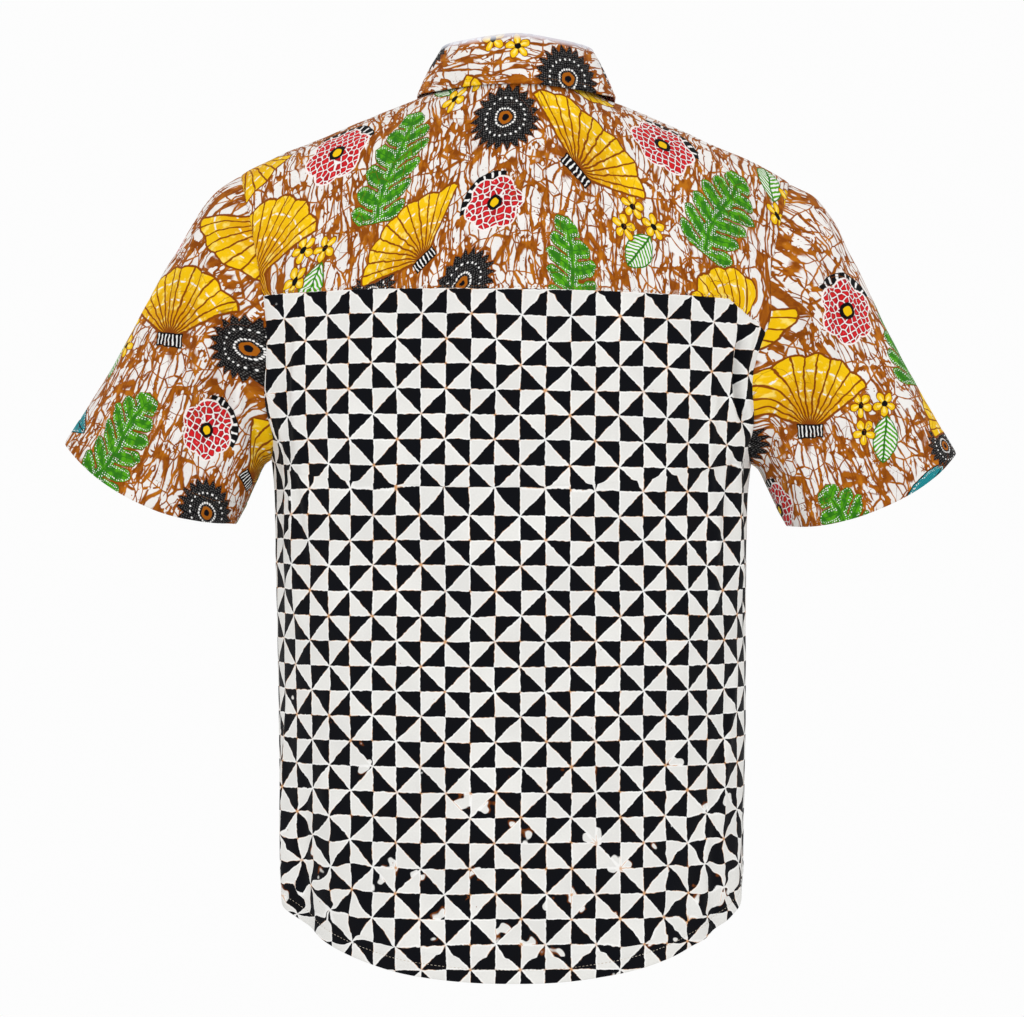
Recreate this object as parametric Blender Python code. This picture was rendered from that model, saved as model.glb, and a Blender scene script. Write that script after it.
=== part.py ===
"""Short-sleeved collared shirt, worn on a hollow figure, built from its sewn pieces.

The wearer faces -Y with the left arm at +X. Heights are measured from the side neck points, where
the shoulder line meets the neck. Sizes are in millimetres until a mesh is made. Each piece is a
thin wall laid over one shared surface, so that neighbours meet edge to edge at their seams.
"""
import math

import bpy
import numpy as np

METRE = 1000.0
WALL = 1.6
SEAM_GAP = 0.34
MITRE_LIMIT = 0.3

# The shoulders lean a little to the wearer's right: turned about a line along Y, eased in over the waist.
LEAN = 0.0145
LEAN_PIVOT = -250.0
LEAN_START = -450.0
LEAN_FULL = -200.0

# Level sections of the torso cloth. A power of 2 is an ellipse, more is squarer.
# columns: level, half width, depth behind, depth in front, power
TORSO_SECTIONS = (
    (30.0, 52.0, 55.5, 40.0, 2.00),
    (10.0, 68.5, 60.5, 46.0, 2.00),
    (0.0, 91.5, 63.5, 49.0, 2.00),
    (-13.0, 122.0, 67.5, 53.0, 2.00),
    (-30.0, 163.0, 73.0, 58.0, 2.00),
    (-47.0, 204.5, 79.0, 63.5, 2.00),
    (-65.0, 236.0, 85.0, 70.0, 1.94),
    (-86.0, 252.0, 92.5, 79.0, 1.91),
    (-105.0, 259.0, 98.5, 86.0, 1.88),
    (-125.0, 261.0, 104.0, 93.0, 1.87),
    (-150.0, 258.0, 110.0, 101.5, 1.86),
    (-185.0, 250.0, 116.0, 111.0, 1.85),
    (-223.0, 239.0, 120.0, 117.0, 1.90),
    (-250.0, 230.0, 121.8, 119.0, 1.94),
    (-285.0, 215.0, 123.0, 120.5, 2.02),
    (-306.0, 206.0, 123.5, 121.0, 2.10),
    (-350.0, 202.5, 122.5, 120.0, 2.15),
    (-420.0, 201.5, 121.0, 118.0, 2.20),
    (-500.0, 200.5, 121.0, 118.0, 2.20),
    (-600.0, 199.2, 123.0, 120.0, 2.20),
    (-680.0, 197.8, 125.5, 122.0, 2.20),
    (-745.0, 196.8, 127.0, 123.0, 2.20),
)

# Folds fade in and out over a third of their length; those of the torso run on past their foot.
FOLD_FADE = 3.0
FOLD_OVERRUN = 1.25

# Soft folds of the torso cloth, each a ridge (or a trough, below zero) running down the surface.
# columns: angle from centre back at the top, drift to the foot, top, foot, half width, height
TORSO_FOLDS = (
    (63.0, 4.0, -195.0, -400.0, 6.0, 4.0),
    (73.0, 3.0, -230.0, -430.0, 6.0, -3.0),
    (-60.0, -14.0, -180.0, -400.0, 6.0, 5.0),
    (-72.0, -10.0, -230.0, -430.0, 6.0, -3.5),
    (75.0, -3.0, -520.0, -760.0, 7.0, 3.5),
    (62.0, -2.0, -560.0, -760.0, 8.0, -3.0),
    (-74.0, 4.0, -530.0, -760.0, 7.0, 3.5),
    (-60.0, 3.0, -570.0, -760.0, 8.0, -2.5),
    (24.0, 3.0, -600.0, -770.0, 10.0, 2.0),
    (-30.0, -2.0, -590.0, -770.0, 10.0, 2.0),
    (118.0, 8.0, -200.0, -450.0, 7.0, 4.0),
    (-120.0, -7.0, -200.0, -470.0, 7.0, 4.0),
    (134.0, -6.0, -480.0, -760.0, 8.0, 4.0),
    (-132.0, 5.0, -500.0, -760.0, 8.0, 4.0),
    (112.0, 3.0, -540.0, -760.0, 7.0, -3.0),
    (-110.0, -3.0, -520.0, -760.0, 7.0, -3.0),
)

# Tail hem: level at the side seams and how much lower the middle of each tail hangs.
HEM_SIDE_LEVEL = -659.0
HEM_DROP_BACK = 81.0
HEM_DROP_FRONT = 68.0

# Armhole ring, a rounded oval seen from the side, cut in equal turns from its shoulder point.
RING_TOP = -65.0
RING_FOOT = -306.0
RING_DEPTH_BACK = 58.0
RING_DEPTH_FRONT = 54.0
RING_POWER = 2.2
RING_STATIONS = 30
RING_YOKE_BACK = 7
RING_YOKE_FRONT = -3
RING_PIT = 15

# Neck seam, an oval seen from above.
NECK_HALF_WIDTH = 64.0
NECK_DEPTH_BACK = 58.0
NECK_DEPTH_FRONT = 70.0
NECK_YOKE_CORNER = 50.0
NECK_YOKE_FRONT = 118.0

# Yoke seam across the back.
YOKE_SEAM_LEVEL = -164.0

# Front edges: the left laps over the right.
LAP = 16.0
LAP_SHIFT = 1.15
LAP_FULL = 26.0
LAP_FADE = 70.0

# Grid counts.
BACK_COLUMNS = 26
BACK_ROWS_BELOW = 11
FRONT_ROWS_BELOW = 11
FRONT_NECK_COLUMNS = 7
YOKE_ROWS = 6
SLEEVE_ROWS = 9
SLEEVE_CROWDING = 0.45

# Sleeve rings beyond the armhole, for the arm at +X. The outer edge is the silhouette above the arm.
# columns: share of the length, outer x, outer level, under x, under level, middle y,
#          depth behind, depth in front, how far the back hangs beyond the edges, the same in front
SLEEVE_RINGS = (
    (0.10, 257.0, -77.5, 211.8, -310.0, -1.0, 55.0, 53.0, 0.0, 0.0),
    (0.34, 291.0, -131.0, 220.5, -326.0, -5.0, 55.0, 54.0, 3.0, -1.0),
    (0.67, 336.5, -211.0, 230.0, -345.0, -14.0, 50.0, 51.0, 9.0, -4.0),
    (1.00, 385.5, -295.0, 239.5, -361.0, -25.0, 45.0, 46.0, 17.0, -7.0),
)

# Soft folds of the sleeves; the turn runs from the outer edge over the back to the underarm.
# columns: side, turn at the armhole, turn at the cuff, first share, last share, half width, height
SLEEVE_FOLDS = (
    (1, 112.0, 142.0, 0.25, 1.10, 13.0, 4.0),
    (1, 84.0, 116.0, 0.10, 0.95, 13.0, -3.0),
    (1, 42.0, 60.0, 0.30, 1.10, 14.0, 2.5),
    (1, 244.0, 226.0, 0.20, 1.05, 14.0, 3.5),
    (1, 276.0, 262.0, 0.10, 0.95, 14.0, -3.0),
    (-1, 120.0, 138.0, 0.20, 1.10, 13.0, 4.0),
    (-1, 92.0, 108.0, 0.10, 0.90, 13.0, -3.0),
    (-1, 50.0, 52.0, 0.35, 1.10, 14.0, 2.5),
    (-1, 238.0, 230.0, 0.20, 1.05, 14.0, 3.5),
    (-1, 270.0, 266.0, 0.15, 1.00, 14.0, -3.0),
)

# Collar stand: a band that leans in to the neck, with rounded ends.
STAND_BACK = 30.5
STAND_FRONT = 25.0
STAND_LEAN_BACK = 0.10
STAND_LEAN_FRONT = 0.24
STAND_SIDE_TURN = 60.0
STAND_FRONT_TURN = 180.0
STAND_END_SHARES = (0.55, 0.86)
STAND_ROWS = 2

# Collar fall: it rises from the stand, rolls over and lies on the shoulders.
FALL_GAP = 0.39
FALL_MARGIN = 3.0
ROLL_RISE = 1.0
ROLL_RADIUS = 2.5
ROLL_STEPS = 4
FALL_ROWS = 3
FALL_BULGE = 1.2
FALL_END = 176.5

# Outer edge of the fall, from centre back to the collar point. columns: turn round the neck, x, y, z
FALL_EDGE = (
    (0.0, 0.0, 63.3, 12.2),
    (12.0, 14.4, 62.2, 12.1),
    (25.0, 29.5, 57.8, 11.4),
    (50.0, 56.3, 44.4, 9.2),
    (68.0, 73.8, 31.0, 7.3),
    (90.0, 84.6, 7.9, 7.2),
    (110.0, 84.8, -18.2, 5.0),
    (120.0, 82.2, -32.2, -0.8),
    (130.0, 77.8, -45.3, -12.2),
    (150.0, 67.6, -62.7, -43.0),
    (165.0, 54.8, -73.8, -68.5),
    (FALL_END, 41.9, -83.8, -90.0),
)

# Buttons, flat discs with a raised rim, on the centre line of the left front and of the stand.
BUTTON_RADIUS = 5.6
BUTTON_RIM = 1.5
BUTTON_THICKNESS = 2.4
BUTTON_DISH = 0.7
BUTTON_ROUNDING = 0.5
BUTTON_STEPS = 14
BUTTON_LIFT = 0.4
BUTTON_LEVELS = (-122.0, -212.0, -302.0, -392.0, -482.0, -572.0)

NORMAL_STEP = 0.02
LEVEL_STEP = 1.5
SOLVE_STEPS = 40
SHORTEST = 1e-9
SAME_PLACE = 1e-6
HALF_TURN = math.pi
QUARTER_TURN = math.pi / 2.0

# columns: name, colour, roughness
CLOTHS = {
    "pinwheel_batik": ((0.36, 0.33, 0.30, 1.0), 0.85),
    "crackle_batik": ((0.55, 0.36, 0.20, 1.0), 0.85),
    "button_brown": ((0.10, 0.055, 0.03, 1.0), 0.35),
}


def column(table, index):
    return np.array([row[index] for row in table])


def through(knots, values, at):
    """A smooth curve through the knots that keeps to rises and falls of the values."""
    order = np.argsort(knots)
    x = np.asarray(knots, float)[order]
    y = np.asarray(values, float)[order]
    step = np.diff(x)
    slope = np.diff(y) / step
    tangent = np.zeros(len(x))
    same = slope[:-1] * slope[1:] > 0
    left = 2 * step[1:] + step[:-1]
    right = step[1:] + 2 * step[:-1]
    safe_before = np.where(same, slope[:-1], 1.0)
    safe_after = np.where(same, slope[1:], 1.0)
    mean = (left + right) / (left / safe_before + right / safe_after)
    tangent[1:-1] = np.where(same, mean, 0.0)
    tangent[0] = slope[0]
    tangent[-1] = slope[-1]
    at = np.clip(np.asarray(at, float), x[0], x[-1])
    cell = np.clip(np.searchsorted(x, at) - 1, 0, len(step) - 1)
    part = (at - x[cell]) / step[cell]
    square = part * part
    cube = square * part
    return (
        (2 * cube - 3 * square + 1) * y[cell]
        + (cube - 2 * square + part) * step[cell] * tangent[cell]
        + (3 * square - 2 * cube) * y[cell + 1]
        + (cube - square) * step[cell] * tangent[cell + 1]
    )


def ease(share):
    share = np.clip(share, 0.0, 1.0)
    return share * share * (3.0 - 2.0 * share)


def power_of(value, exponent):
    return np.sign(value) * np.abs(value) ** exponent


def unit(vectors):
    length = np.linalg.norm(vectors, axis=-1, keepdims=True)
    return vectors / np.maximum(length, SHORTEST)


# --- torso surface -------------------------------------------------------------------------------


def section(level):
    """Half width, depth behind, depth in front and power at a level."""
    levels = column(TORSO_SECTIONS, 0)
    return [through(levels, column(TORSO_SECTIONS, i), level) for i in range(1, 5)]


def plain_torso(turn, level):
    """The torso surface without folds. The turn is 0 at centre back and a quarter at +X."""
    half_width, behind, before, power = section(level)
    depth = np.where(np.cos(turn) >= 0, behind, before)
    x = half_width * power_of(np.sin(turn), 2.0 / power)
    y = depth * power_of(np.cos(turn), 2.0 / power)
    return np.stack([x, y, np.broadcast_to(level, x.shape)], axis=-1)


def slopes_to_normal(surface, turn, level):
    across = surface(turn + NORMAL_STEP, level) - surface(turn - NORMAL_STEP, level)
    down = surface(turn, level - LEVEL_STEP) - surface(turn, level + LEVEL_STEP)
    return unit(np.cross(across, down))


def fold_height(turn, level):
    degrees = np.degrees(turn)
    total = np.zeros(np.broadcast(turn, level).shape)
    for angle, drift, top, foot, half_width, height in TORSO_FOLDS:
        share = (top - level) / (top - foot)
        middle = angle + drift * share
        away = (degrees - middle + 180.0) % 360.0 - 180.0
        fade = ease(share * FOLD_FADE) * ease((FOLD_OVERRUN - share) * FOLD_FADE)
        total = total + height * fade * np.exp(-((away / half_width) ** 2))
    return total


def torso(turn, level, layer=0):
    """The cloth's middle surface. Layer 1 laps over at the front edge, -1 lies under."""
    turn = np.asarray(turn, float)
    level = np.asarray(level, float)
    base = plain_torso(turn, level)
    lift = fold_height(turn, level)
    near = ease((LAP_FADE - np.abs(base[..., 0])) / (LAP_FADE - LAP_FULL))
    lift = lift + layer * LAP_SHIFT * near * (np.cos(turn) < 0)
    return base + slopes_to_normal(plain_torso, turn, level) * lift[..., None]


def torso_normal(turn, level, layer=0):
    return slopes_to_normal(lambda a, b: torso(a, b, layer), np.asarray(turn), np.asarray(level))


def turn_at(x, y, level):
    """The turn at which the section at this level is cut by the direction of a point on it."""
    half_width, behind, before, power = section(level)
    depth = np.where(np.asarray(y) >= 0, behind, before)
    return np.arctan2(power_of(x / half_width, power / 2.0), power_of(y / depth, power / 2.0))


def level_above(x, y):
    """The highest level at which the torso section reaches the point (x, y)."""
    low = TORSO_SECTIONS[-1][0]
    high = TORSO_SECTIONS[0][0]
    for _ in range(SOLVE_STEPS):
        middle = (low + high) / 2.0
        half_width, behind, before, power = section(middle)
        depth = behind if y >= 0 else before
        if (abs(x) / half_width) ** power + (abs(y) / depth) ** power > 1.0:
            high = middle
        else:
            low = middle
    return (low + high) / 2.0


# --- seams as places (turn, level) on the torso --------------------------------------------------


def ring_place(station):
    """A place on the left armhole; stations count from the shoulder point towards the back."""
    angle = 2.0 * HALF_TURN * station / RING_STATIONS
    middle = (RING_TOP + RING_FOOT) / 2.0
    half = (RING_TOP - RING_FOOT) / 2.0
    level = middle + half * power_of(math.cos(angle), 2.0 / RING_POWER)
    depth = RING_DEPTH_BACK if math.sin(angle) >= 0 else RING_DEPTH_FRONT
    y = depth * power_of(math.sin(angle), 2.0 / RING_POWER)
    _, behind, before, power = section(level)
    reach = behind if y >= 0 else before
    back_share = power_of(y / reach, power / 2.0)
    return np.array([math.acos(float(back_share)), float(level)])


def neck_place(degrees):
    """A place on the neck seam, by the turn in degrees round the neck."""
    angle = math.radians(degrees)
    depth = NECK_DEPTH_BACK if math.cos(angle) >= 0 else NECK_DEPTH_FRONT
    x = NECK_HALF_WIDTH * math.sin(angle)
    y = depth * math.cos(angle)
    level = level_above(x, y)
    turn = float(turn_at(x, y, level))
    if degrees > 90.0 and turn < 0:
        turn += 2.0 * HALF_TURN
    if degrees < -90.0 and turn > 0:
        turn -= 2.0 * HALF_TURN
    return np.array([turn, level])


def hem_level(turn):
    drop = HEM_DROP_BACK if math.cos(turn) >= 0 else HEM_DROP_FRONT
    return HEM_SIDE_LEVEL - drop * abs(math.cos(turn))


def lap_place(level):
    """A place on the left front edge, past the centre line."""
    half_width, _, _, power = section(level)
    return np.array([HALF_TURN + math.asin((LAP / float(half_width)) ** (float(power) / 2.0)), level])


def neck_lap_degrees():
    return 180.0 + math.degrees(math.asin(LAP / NECK_HALF_WIDTH))


def neck_front_degrees():
    """Turns round the neck from the yoke's front corner to the lapped front edge."""
    return np.linspace(NECK_YOKE_FRONT, neck_lap_degrees(), FRONT_NECK_COLUMNS + 1)


def neck_yoke_degrees():
    """Turns round the neck along the yoke, from its right front corner to its left one."""
    front = np.linspace(NECK_YOKE_FRONT, 90.0, -RING_YOKE_FRONT + 1)
    side = np.linspace(90.0, NECK_YOKE_CORNER, RING_YOKE_BACK + 1)
    back = np.linspace(NECK_YOKE_CORNER, -NECK_YOKE_CORNER, BACK_COLUMNS + 1)
    half = np.concatenate([front, side[1:]])
    return np.concatenate([-half, back[::-1][1:-1], half[::-1]])


def yoke_seam_places():
    """Places along the back yoke seam, from the right armhole to the left one."""
    corner = ring_place(RING_YOKE_BACK)
    turns = np.linspace(-corner[0], corner[0], BACK_COLUMNS + 1)
    levels = YOKE_SEAM_LEVEL + (corner[1] - YOKE_SEAM_LEVEL) * (turns / corner[0]) ** 2
    return np.stack([turns, levels], axis=-1)


def mirrored(places):
    return np.asarray(places) * np.array([-1.0, 1.0])


def coons(foot, head, left, right):
    """A grid of places from its four edges; rows run from foot to head."""
    rows = len(left)
    columns = len(foot)
    s = np.linspace(0.0, 1.0, columns)[None, :, None]
    t = np.linspace(0.0, 1.0, rows)[:, None, None]
    ruled_up = (1 - t) * foot[None] + t * head[None]
    ruled_across = (1 - s) * left[:, None] + s * right[:, None]
    corners = (1 - t) * ((1 - s) * foot[0] + s * foot[-1]) + t * ((1 - s) * head[0] + s * head[-1])
    return ruled_up + ruled_across - corners


# --- walls ---------------------------------------------------------------------------------------


def border_of(rows, columns):
    """The grid's border places, once round."""
    foot = [(0, j) for j in range(columns)]
    right = [(i, columns - 1) for i in range(1, rows)]
    head = [(rows - 1, j) for j in range(columns - 2, -1, -1)]
    left = [(i, 0) for i in range(rows - 2, 0, -1)]
    return foot + right + head + left


def pull_in(points, normals, amount):
    """Moves the border of a grid inwards, within the surface, square to each edge."""
    moved = points.copy()
    border = border_of(*points.shape[:2])
    i, j = points.shape[0] // 2, points.shape[1] // 2
    turning = np.cross(points[i, j] - points[i, j - 1], points[i, j] - points[i - 1, j])
    side = 1.0 if float(turning @ normals[i, j]) > 0 else -1.0
    for k, place in enumerate(border):
        here = points[place]
        before = unit(here - points[border[k - 1]])
        after = unit(points[border[(k + 1) % len(border)]] - here)
        first = unit(np.cross(normals[place], before)) * side
        second = unit(np.cross(normals[place], after)) * side
        mitre = (first + second) / (1.0 + max(float(first @ second), -MITRE_LIMIT))
        moved[place] = here + mitre * amount
    return moved


def faces_of_grid(points, start, outward, joined):
    """Triangles over a grid, each cell cut along its shorter diagonal."""
    rows, columns = points.shape[:2]
    faces = []
    wrap = columns if joined else columns - 1
    for i in range(rows - 1):
        for j in range(wrap):
            k = (j + 1) % columns
            a = start + i * columns + j
            b = start + i * columns + k
            c = start + (i + 1) * columns + k
            d = start + (i + 1) * columns + j
            rising = np.linalg.norm(points[i, j] - points[i + 1, k])
            falling = np.linalg.norm(points[i, k] - points[i + 1, j])
            pair = ((a, b, c), (a, c, d)) if rising <= falling else ((a, b, d), (b, c, d))
            faces += [face if outward else face[::-1] for face in pair]
    return faces


def leaned(points):
    """Leans everything above the waist over to the side."""
    x, y, z = np.moveaxis(np.asarray(points, float), -1, 0)
    angle = LEAN * ease((z - LEAN_START) / (LEAN_FULL - LEAN_START))
    high = z - LEAN_PIVOT
    along = x * np.cos(angle) - high * np.sin(angle)
    level = LEAN_PIVOT + high * np.cos(angle) + x * np.sin(angle)
    return np.stack([along, y, level], axis=-1)


def signed_volume(vertices, faces):
    total = 0.0
    for face in faces:
        for k in range(1, len(face) - 1):
            a = vertices[face[0]]
            b = vertices[face[k]]
            c = vertices[face[k + 1]]
            total += float(np.dot(a, np.cross(b, c)))
    return total


def make_object(name, vertices, faces, cloth):
    if signed_volume(vertices, faces) < 0:
        faces = [face[::-1] for face in faces]
    mesh = bpy.data.meshes.new(name)
    mesh.from_pydata((leaned(vertices) / METRE).tolist(), [], faces)
    mesh.update()
    mesh.polygons.foreach_set("use_smooth", [True] * len(mesh.polygons))
    mesh.materials.append(cloth_material(cloth))
    made = bpy.data.objects.new(name, mesh)
    bpy.context.scene.collection.objects.link(made)
    return made


def make_wall(name, points, across, cloth, joined=False):
    """Closes the wall between a grid's inner and outer faces. Across spans one unit of thickness."""
    rows, columns = points.shape[:2]
    outer = (points + across * WALL / 2.0).reshape(-1, 3)
    inner = (points - across * WALL / 2.0).reshape(-1, 3)
    count = rows * columns
    faces = faces_of_grid(points, 0, True, joined)
    faces += faces_of_grid(points, count, False, joined)
    if joined:
        for j in range(columns):
            k = (j + 1) % columns
            last = (rows - 1) * columns
            faces.append((k, j, count + j, count + k))
            faces.append((last + j, last + k, count + last + k, count + last + j))
    else:
        border = [i * columns + j for i, j in border_of(rows, columns)]
        for k, here in enumerate(border):
            onward = border[(k + 1) % len(border)]
            faces.append((onward, here, count + here, count + onward))
    return make_object(name, np.concatenate([outer, inner]), faces, cloth)


def cloth_material(name):
    found = bpy.data.materials.get(name)
    if found:
        return found
    colour, roughness = CLOTHS[name]
    made = bpy.data.materials.new(name)
    made.use_nodes = True
    shader = made.node_tree.nodes["Principled BSDF"]
    shader.inputs["Base Color"].default_value = colour
    shader.inputs["Roughness"].default_value = roughness
    shader.inputs["Metallic"].default_value = 0.0
    made.diffuse_color = colour
    return made


def mitre_between(first, second):
    """The span across a wall at a seam between two surfaces with these normals."""
    together = np.sum(first * second, axis=-1, keepdims=True)
    return (first + second) / (1.0 + np.maximum(together, -MITRE_LIMIT))


# --- sleeves -------------------------------------------------------------------------------------


def ring_places():
    """The left armhole, once round from the shoulder point over the back."""
    return np.array([ring_place(k) for k in range(RING_STATIONS)])


def ring_points(side):
    """An armhole in space, turned over to the +X side."""
    places = ring_places()
    return torso(side * places[:, 0], places[:, 1]) * side_of(side)


def ring_normals(side):
    places = ring_places()
    return torso_normal(side * places[:, 0], places[:, 1]) * side_of(side)


def side_of(side):
    return np.array([side, 1.0, 1.0])


def sleeve_ring(row):
    _, outer_x, outer_z, under_x, under_z, y, behind, before, hang_behind, hang_before = row
    angle = 2.0 * HALF_TURN * np.arange(RING_STATIONS) / RING_STATIONS
    cosine = power_of(np.cos(angle), 2.0 / RING_POWER)
    sine = power_of(np.sin(angle), 2.0 / RING_POWER)
    half = np.array([outer_x - under_x, 0.0, outer_z - under_z]) / 2.0
    centre = np.array([(outer_x + under_x) / 2.0, y, (outer_z + under_z) / 2.0])
    onward = unit(np.array([half[2], 0.0, -half[0]]))
    depth = np.where(np.sin(angle) >= 0, behind, before)
    hang = np.where(np.sin(angle) >= 0, hang_behind, hang_before) * np.sin(angle) ** 2
    deep = np.array([0.0, 1.0, 0.0])
    return centre + cosine[:, None] * half + (sine * depth)[:, None] * deep + hang[:, None] * onward


def sleeve_shares():
    even = np.linspace(0.0, 1.0, SLEEVE_ROWS + 1)
    return even * (1.0 - SLEEVE_CROWDING + SLEEVE_CROWDING * even)


def sleeve_grid(side):
    """One sleeve's middle surface, turned over to the +X side."""
    knots = np.concatenate([[0.0], column(SLEEVE_RINGS, 0)])
    rings = [ring_points(side)] + [sleeve_ring(row) for row in SLEEVE_RINGS]
    rings = np.array(rings)
    shares = sleeve_shares()
    grid = np.zeros((len(shares), RING_STATIONS, 3))
    for j in range(RING_STATIONS):
        for axis in range(3):
            grid[:, j, axis] = through(knots, rings[:, j, axis], shares)
    normals = grid_normals(grid)
    return grid + normals * sleeve_folds(side, shares)[..., None]


def sleeve_folds(side, shares):
    turns = 360.0 * np.arange(RING_STATIONS)[None, :] / RING_STATIONS
    shares = shares[:, None]
    total = np.zeros((len(shares), RING_STATIONS))
    for fold_side, start, end, first, last, half_width, height in SLEEVE_FOLDS:
        if fold_side != side:
            continue
        part = (shares - first) / (last - first)
        middle = start + (end - start) * shares
        fade = ease(part * FOLD_FADE) * ease((1.0 - part) * FOLD_FADE)
        away = (turns - middle + 180.0) % 360.0 - 180.0
        total += height * fade * np.exp(-((away / half_width) ** 2)) * (shares > 0)
    return total


def grid_normals(grid):
    """Outward normals of a tube's grid, whose columns join up."""
    round_it = np.roll(grid, -1, axis=1) - np.roll(grid, 1, axis=1)
    along = np.gradient(grid, axis=0)
    return unit(np.cross(along, round_it))


def build_sleeve(name, side, spans):
    """Makes a sleeve and notes the spans across the wall that it shares with the armhole."""
    grid = sleeve_grid(side)
    across = grid_normals(grid)
    round_it = unit(np.roll(grid[0], -1, axis=0) - np.roll(grid[0], 1, axis=0))
    off = grid[1] - grid[0]
    off = unit(off - round_it * np.sum(off * round_it, axis=-1, keepdims=True))
    across[0] = mitre_between(ring_normals(side), unit(np.cross(off, round_it)))
    grid[0] = grid[0] + off * SEAM_GAP / 2.0
    make_wall(name, grid * side_of(side), across * side_of(side), "crackle_batik", joined=True)
    for place, span in zip(ring_places(), across[0]):
        spans.append((place * np.array([side, 1.0]), span * side_of(side)))


# --- torso pieces --------------------------------------------------------------------------------


def torso_piece(name, grid, cloth, spans, layer=0):
    """Makes one flat-cut piece of the torso from its grid of places."""
    points = torso(grid[..., 0], grid[..., 1], layer)
    normals = torso_normal(grid[..., 0], grid[..., 1], layer)
    across = normals.copy()
    for place, span in spans:
        near = np.abs(grid - place).max(axis=-1) < SAME_PLACE
        across[near] = span
    points = pull_in(points, normals, SEAM_GAP / 2.0)
    make_wall(name, points, across, cloth)


def back_grid():
    head = yoke_seam_places()
    corner = ring_place(RING_PIT)
    side = [np.array([QUARTER_TURN, z])
            for z in np.linspace(hem_level(QUARTER_TURN), corner[1], BACK_ROWS_BELOW + 1)]
    side += [ring_place(k) for k in range(RING_PIT - 1, RING_YOKE_BACK - 1, -1)]
    side = np.array(side)
    turns = np.linspace(-QUARTER_TURN, QUARTER_TURN, BACK_COLUMNS + 1)
    foot = np.array([[turn, hem_level(turn)] for turn in turns])
    return coons(foot, head, mirrored(side), side)


def front_grid():
    """The left front, from its lapped edge to the side seam."""
    neck = [neck_place(d) for d in neck_front_degrees()[::-1]]
    corner_high = neck[-1]
    corner_low = ring_place(RING_YOKE_FRONT)
    seam = [corner_high + (corner_low - corner_high) * k / YOKE_ROWS for k in range(1, YOKE_ROWS + 1)]
    head = np.array(neck + seam)
    pit = ring_place(RING_PIT)
    side = [np.array([QUARTER_TURN, z])
            for z in np.linspace(hem_level(QUARTER_TURN), pit[1], FRONT_ROWS_BELOW + 1)]
    side += [ring_place(-k) for k in range(RING_PIT - 1, -RING_YOKE_FRONT - 1, -1)]
    side = np.array(side)
    rows = len(side)
    edge_foot = hem_level(HALF_TURN)
    edge = np.array([lap_place(z) for z in np.linspace(edge_foot, neck[0][1], rows)])
    edge[-1] = neck[0]
    turns = np.linspace(edge[0][0], QUARTER_TURN, len(head))
    foot = np.array([[turn, hem_level(turn)] for turn in turns])
    return coons(foot, head, edge, side)


def yoke_grid():
    neck = np.array([neck_place(d) for d in neck_yoke_degrees()])
    arm = [ring_place(k) for k in range(RING_YOKE_FRONT, RING_YOKE_BACK + 1)]
    back = yoke_seam_places()
    outer = np.array([p * np.array([-1.0, 1.0]) for p in arm] + list(back[1:-1]) + arm[::-1])
    left = np.linspace(neck[0], outer[0], YOKE_ROWS + 1)
    right = np.linspace(neck[-1], outer[-1], YOKE_ROWS + 1)
    return coons(neck, outer, left, right)


# --- collar --------------------------------------------------------------------------------------


def stand_degrees():
    front = neck_front_degrees()[1:]
    return np.concatenate([-front[::-1], neck_yoke_degrees(), front])


def stand_edges(degrees):
    """Foot and head points of the stand's middle surface at turns round the neck."""
    feet = []
    heads = []
    for turn in degrees:
        layer = 1 if turn > NECK_YOKE_FRONT else (-1 if turn < -NECK_YOKE_FRONT else 0)
        place = neck_place(turn)
        foot = torso(place[0], place[1], layer)
        angle = math.radians(turn)
        outward = unit(np.array([math.sin(angle) / NECK_HALF_WIDTH,
                                 math.cos(angle) / NECK_DEPTH_BACK, 0.0]))
        front = float(ease((abs(turn) - STAND_SIDE_TURN) / (STAND_FRONT_TURN - STAND_SIDE_TURN)))
        lean = STAND_LEAN_BACK + (STAND_LEAN_FRONT - STAND_LEAN_BACK) * front
        height = STAND_BACK + (STAND_FRONT - STAND_BACK) * front
        rise = unit(np.array([0.0, 0.0, 1.0]) - outward * lean)
        feet.append(foot)
        heads.append(foot + rise * height)
    return np.array(feet), np.array(heads)


def build_stand(spans):
    degrees = stand_degrees()
    feet, heads = stand_edges(degrees)
    share = np.ones(len(degrees))
    share[:len(STAND_END_SHARES)] = STAND_END_SHARES
    share[-len(STAND_END_SHARES):] = STAND_END_SHARES[::-1]
    steps = np.linspace(0.0, 1.0, STAND_ROWS + 1)[:, None, None]
    grid = feet[None] + (heads - feet)[None] * steps * share[None, :, None]
    along = np.gradient(feet, axis=0)
    normals = unit(np.cross(along, heads - feet))
    sign = 1.0 if normals[len(degrees) // 2, 1] > 0 else -1.0
    normals = np.broadcast_to(normals * sign, grid.shape).copy()
    across = normals.copy()
    for j, turn in enumerate(degrees):
        layer = 1 if turn > NECK_YOKE_FRONT else (-1 if turn < -NECK_YOKE_FRONT else 0)
        place = neck_place(turn)
        body = torso_normal(place[0], place[1], layer)
        span = mitre_between(body, normals[0, j])
        across[0, j] = span
        spans.append((place, span))
    grid = pull_in(grid, normals, SEAM_GAP / 2.0)
    make_wall("collar_stand", grid, across, "crackle_batik")


def fall_edge_point(turn):
    turns = column(FALL_EDGE, 0)
    x, y, z = (float(through(turns, column(FALL_EDGE, i), abs(turn))) for i in (1, 2, 3))
    return np.array([-x if turn < 0 else x, y, z])


def fall_degrees():
    """The stand's turns round the neck as far as the fall's front edges."""
    inner = [turn for turn in stand_degrees() if abs(turn) < FALL_END - FALL_MARGIN]
    return [-FALL_END] + inner + [FALL_END]


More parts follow.
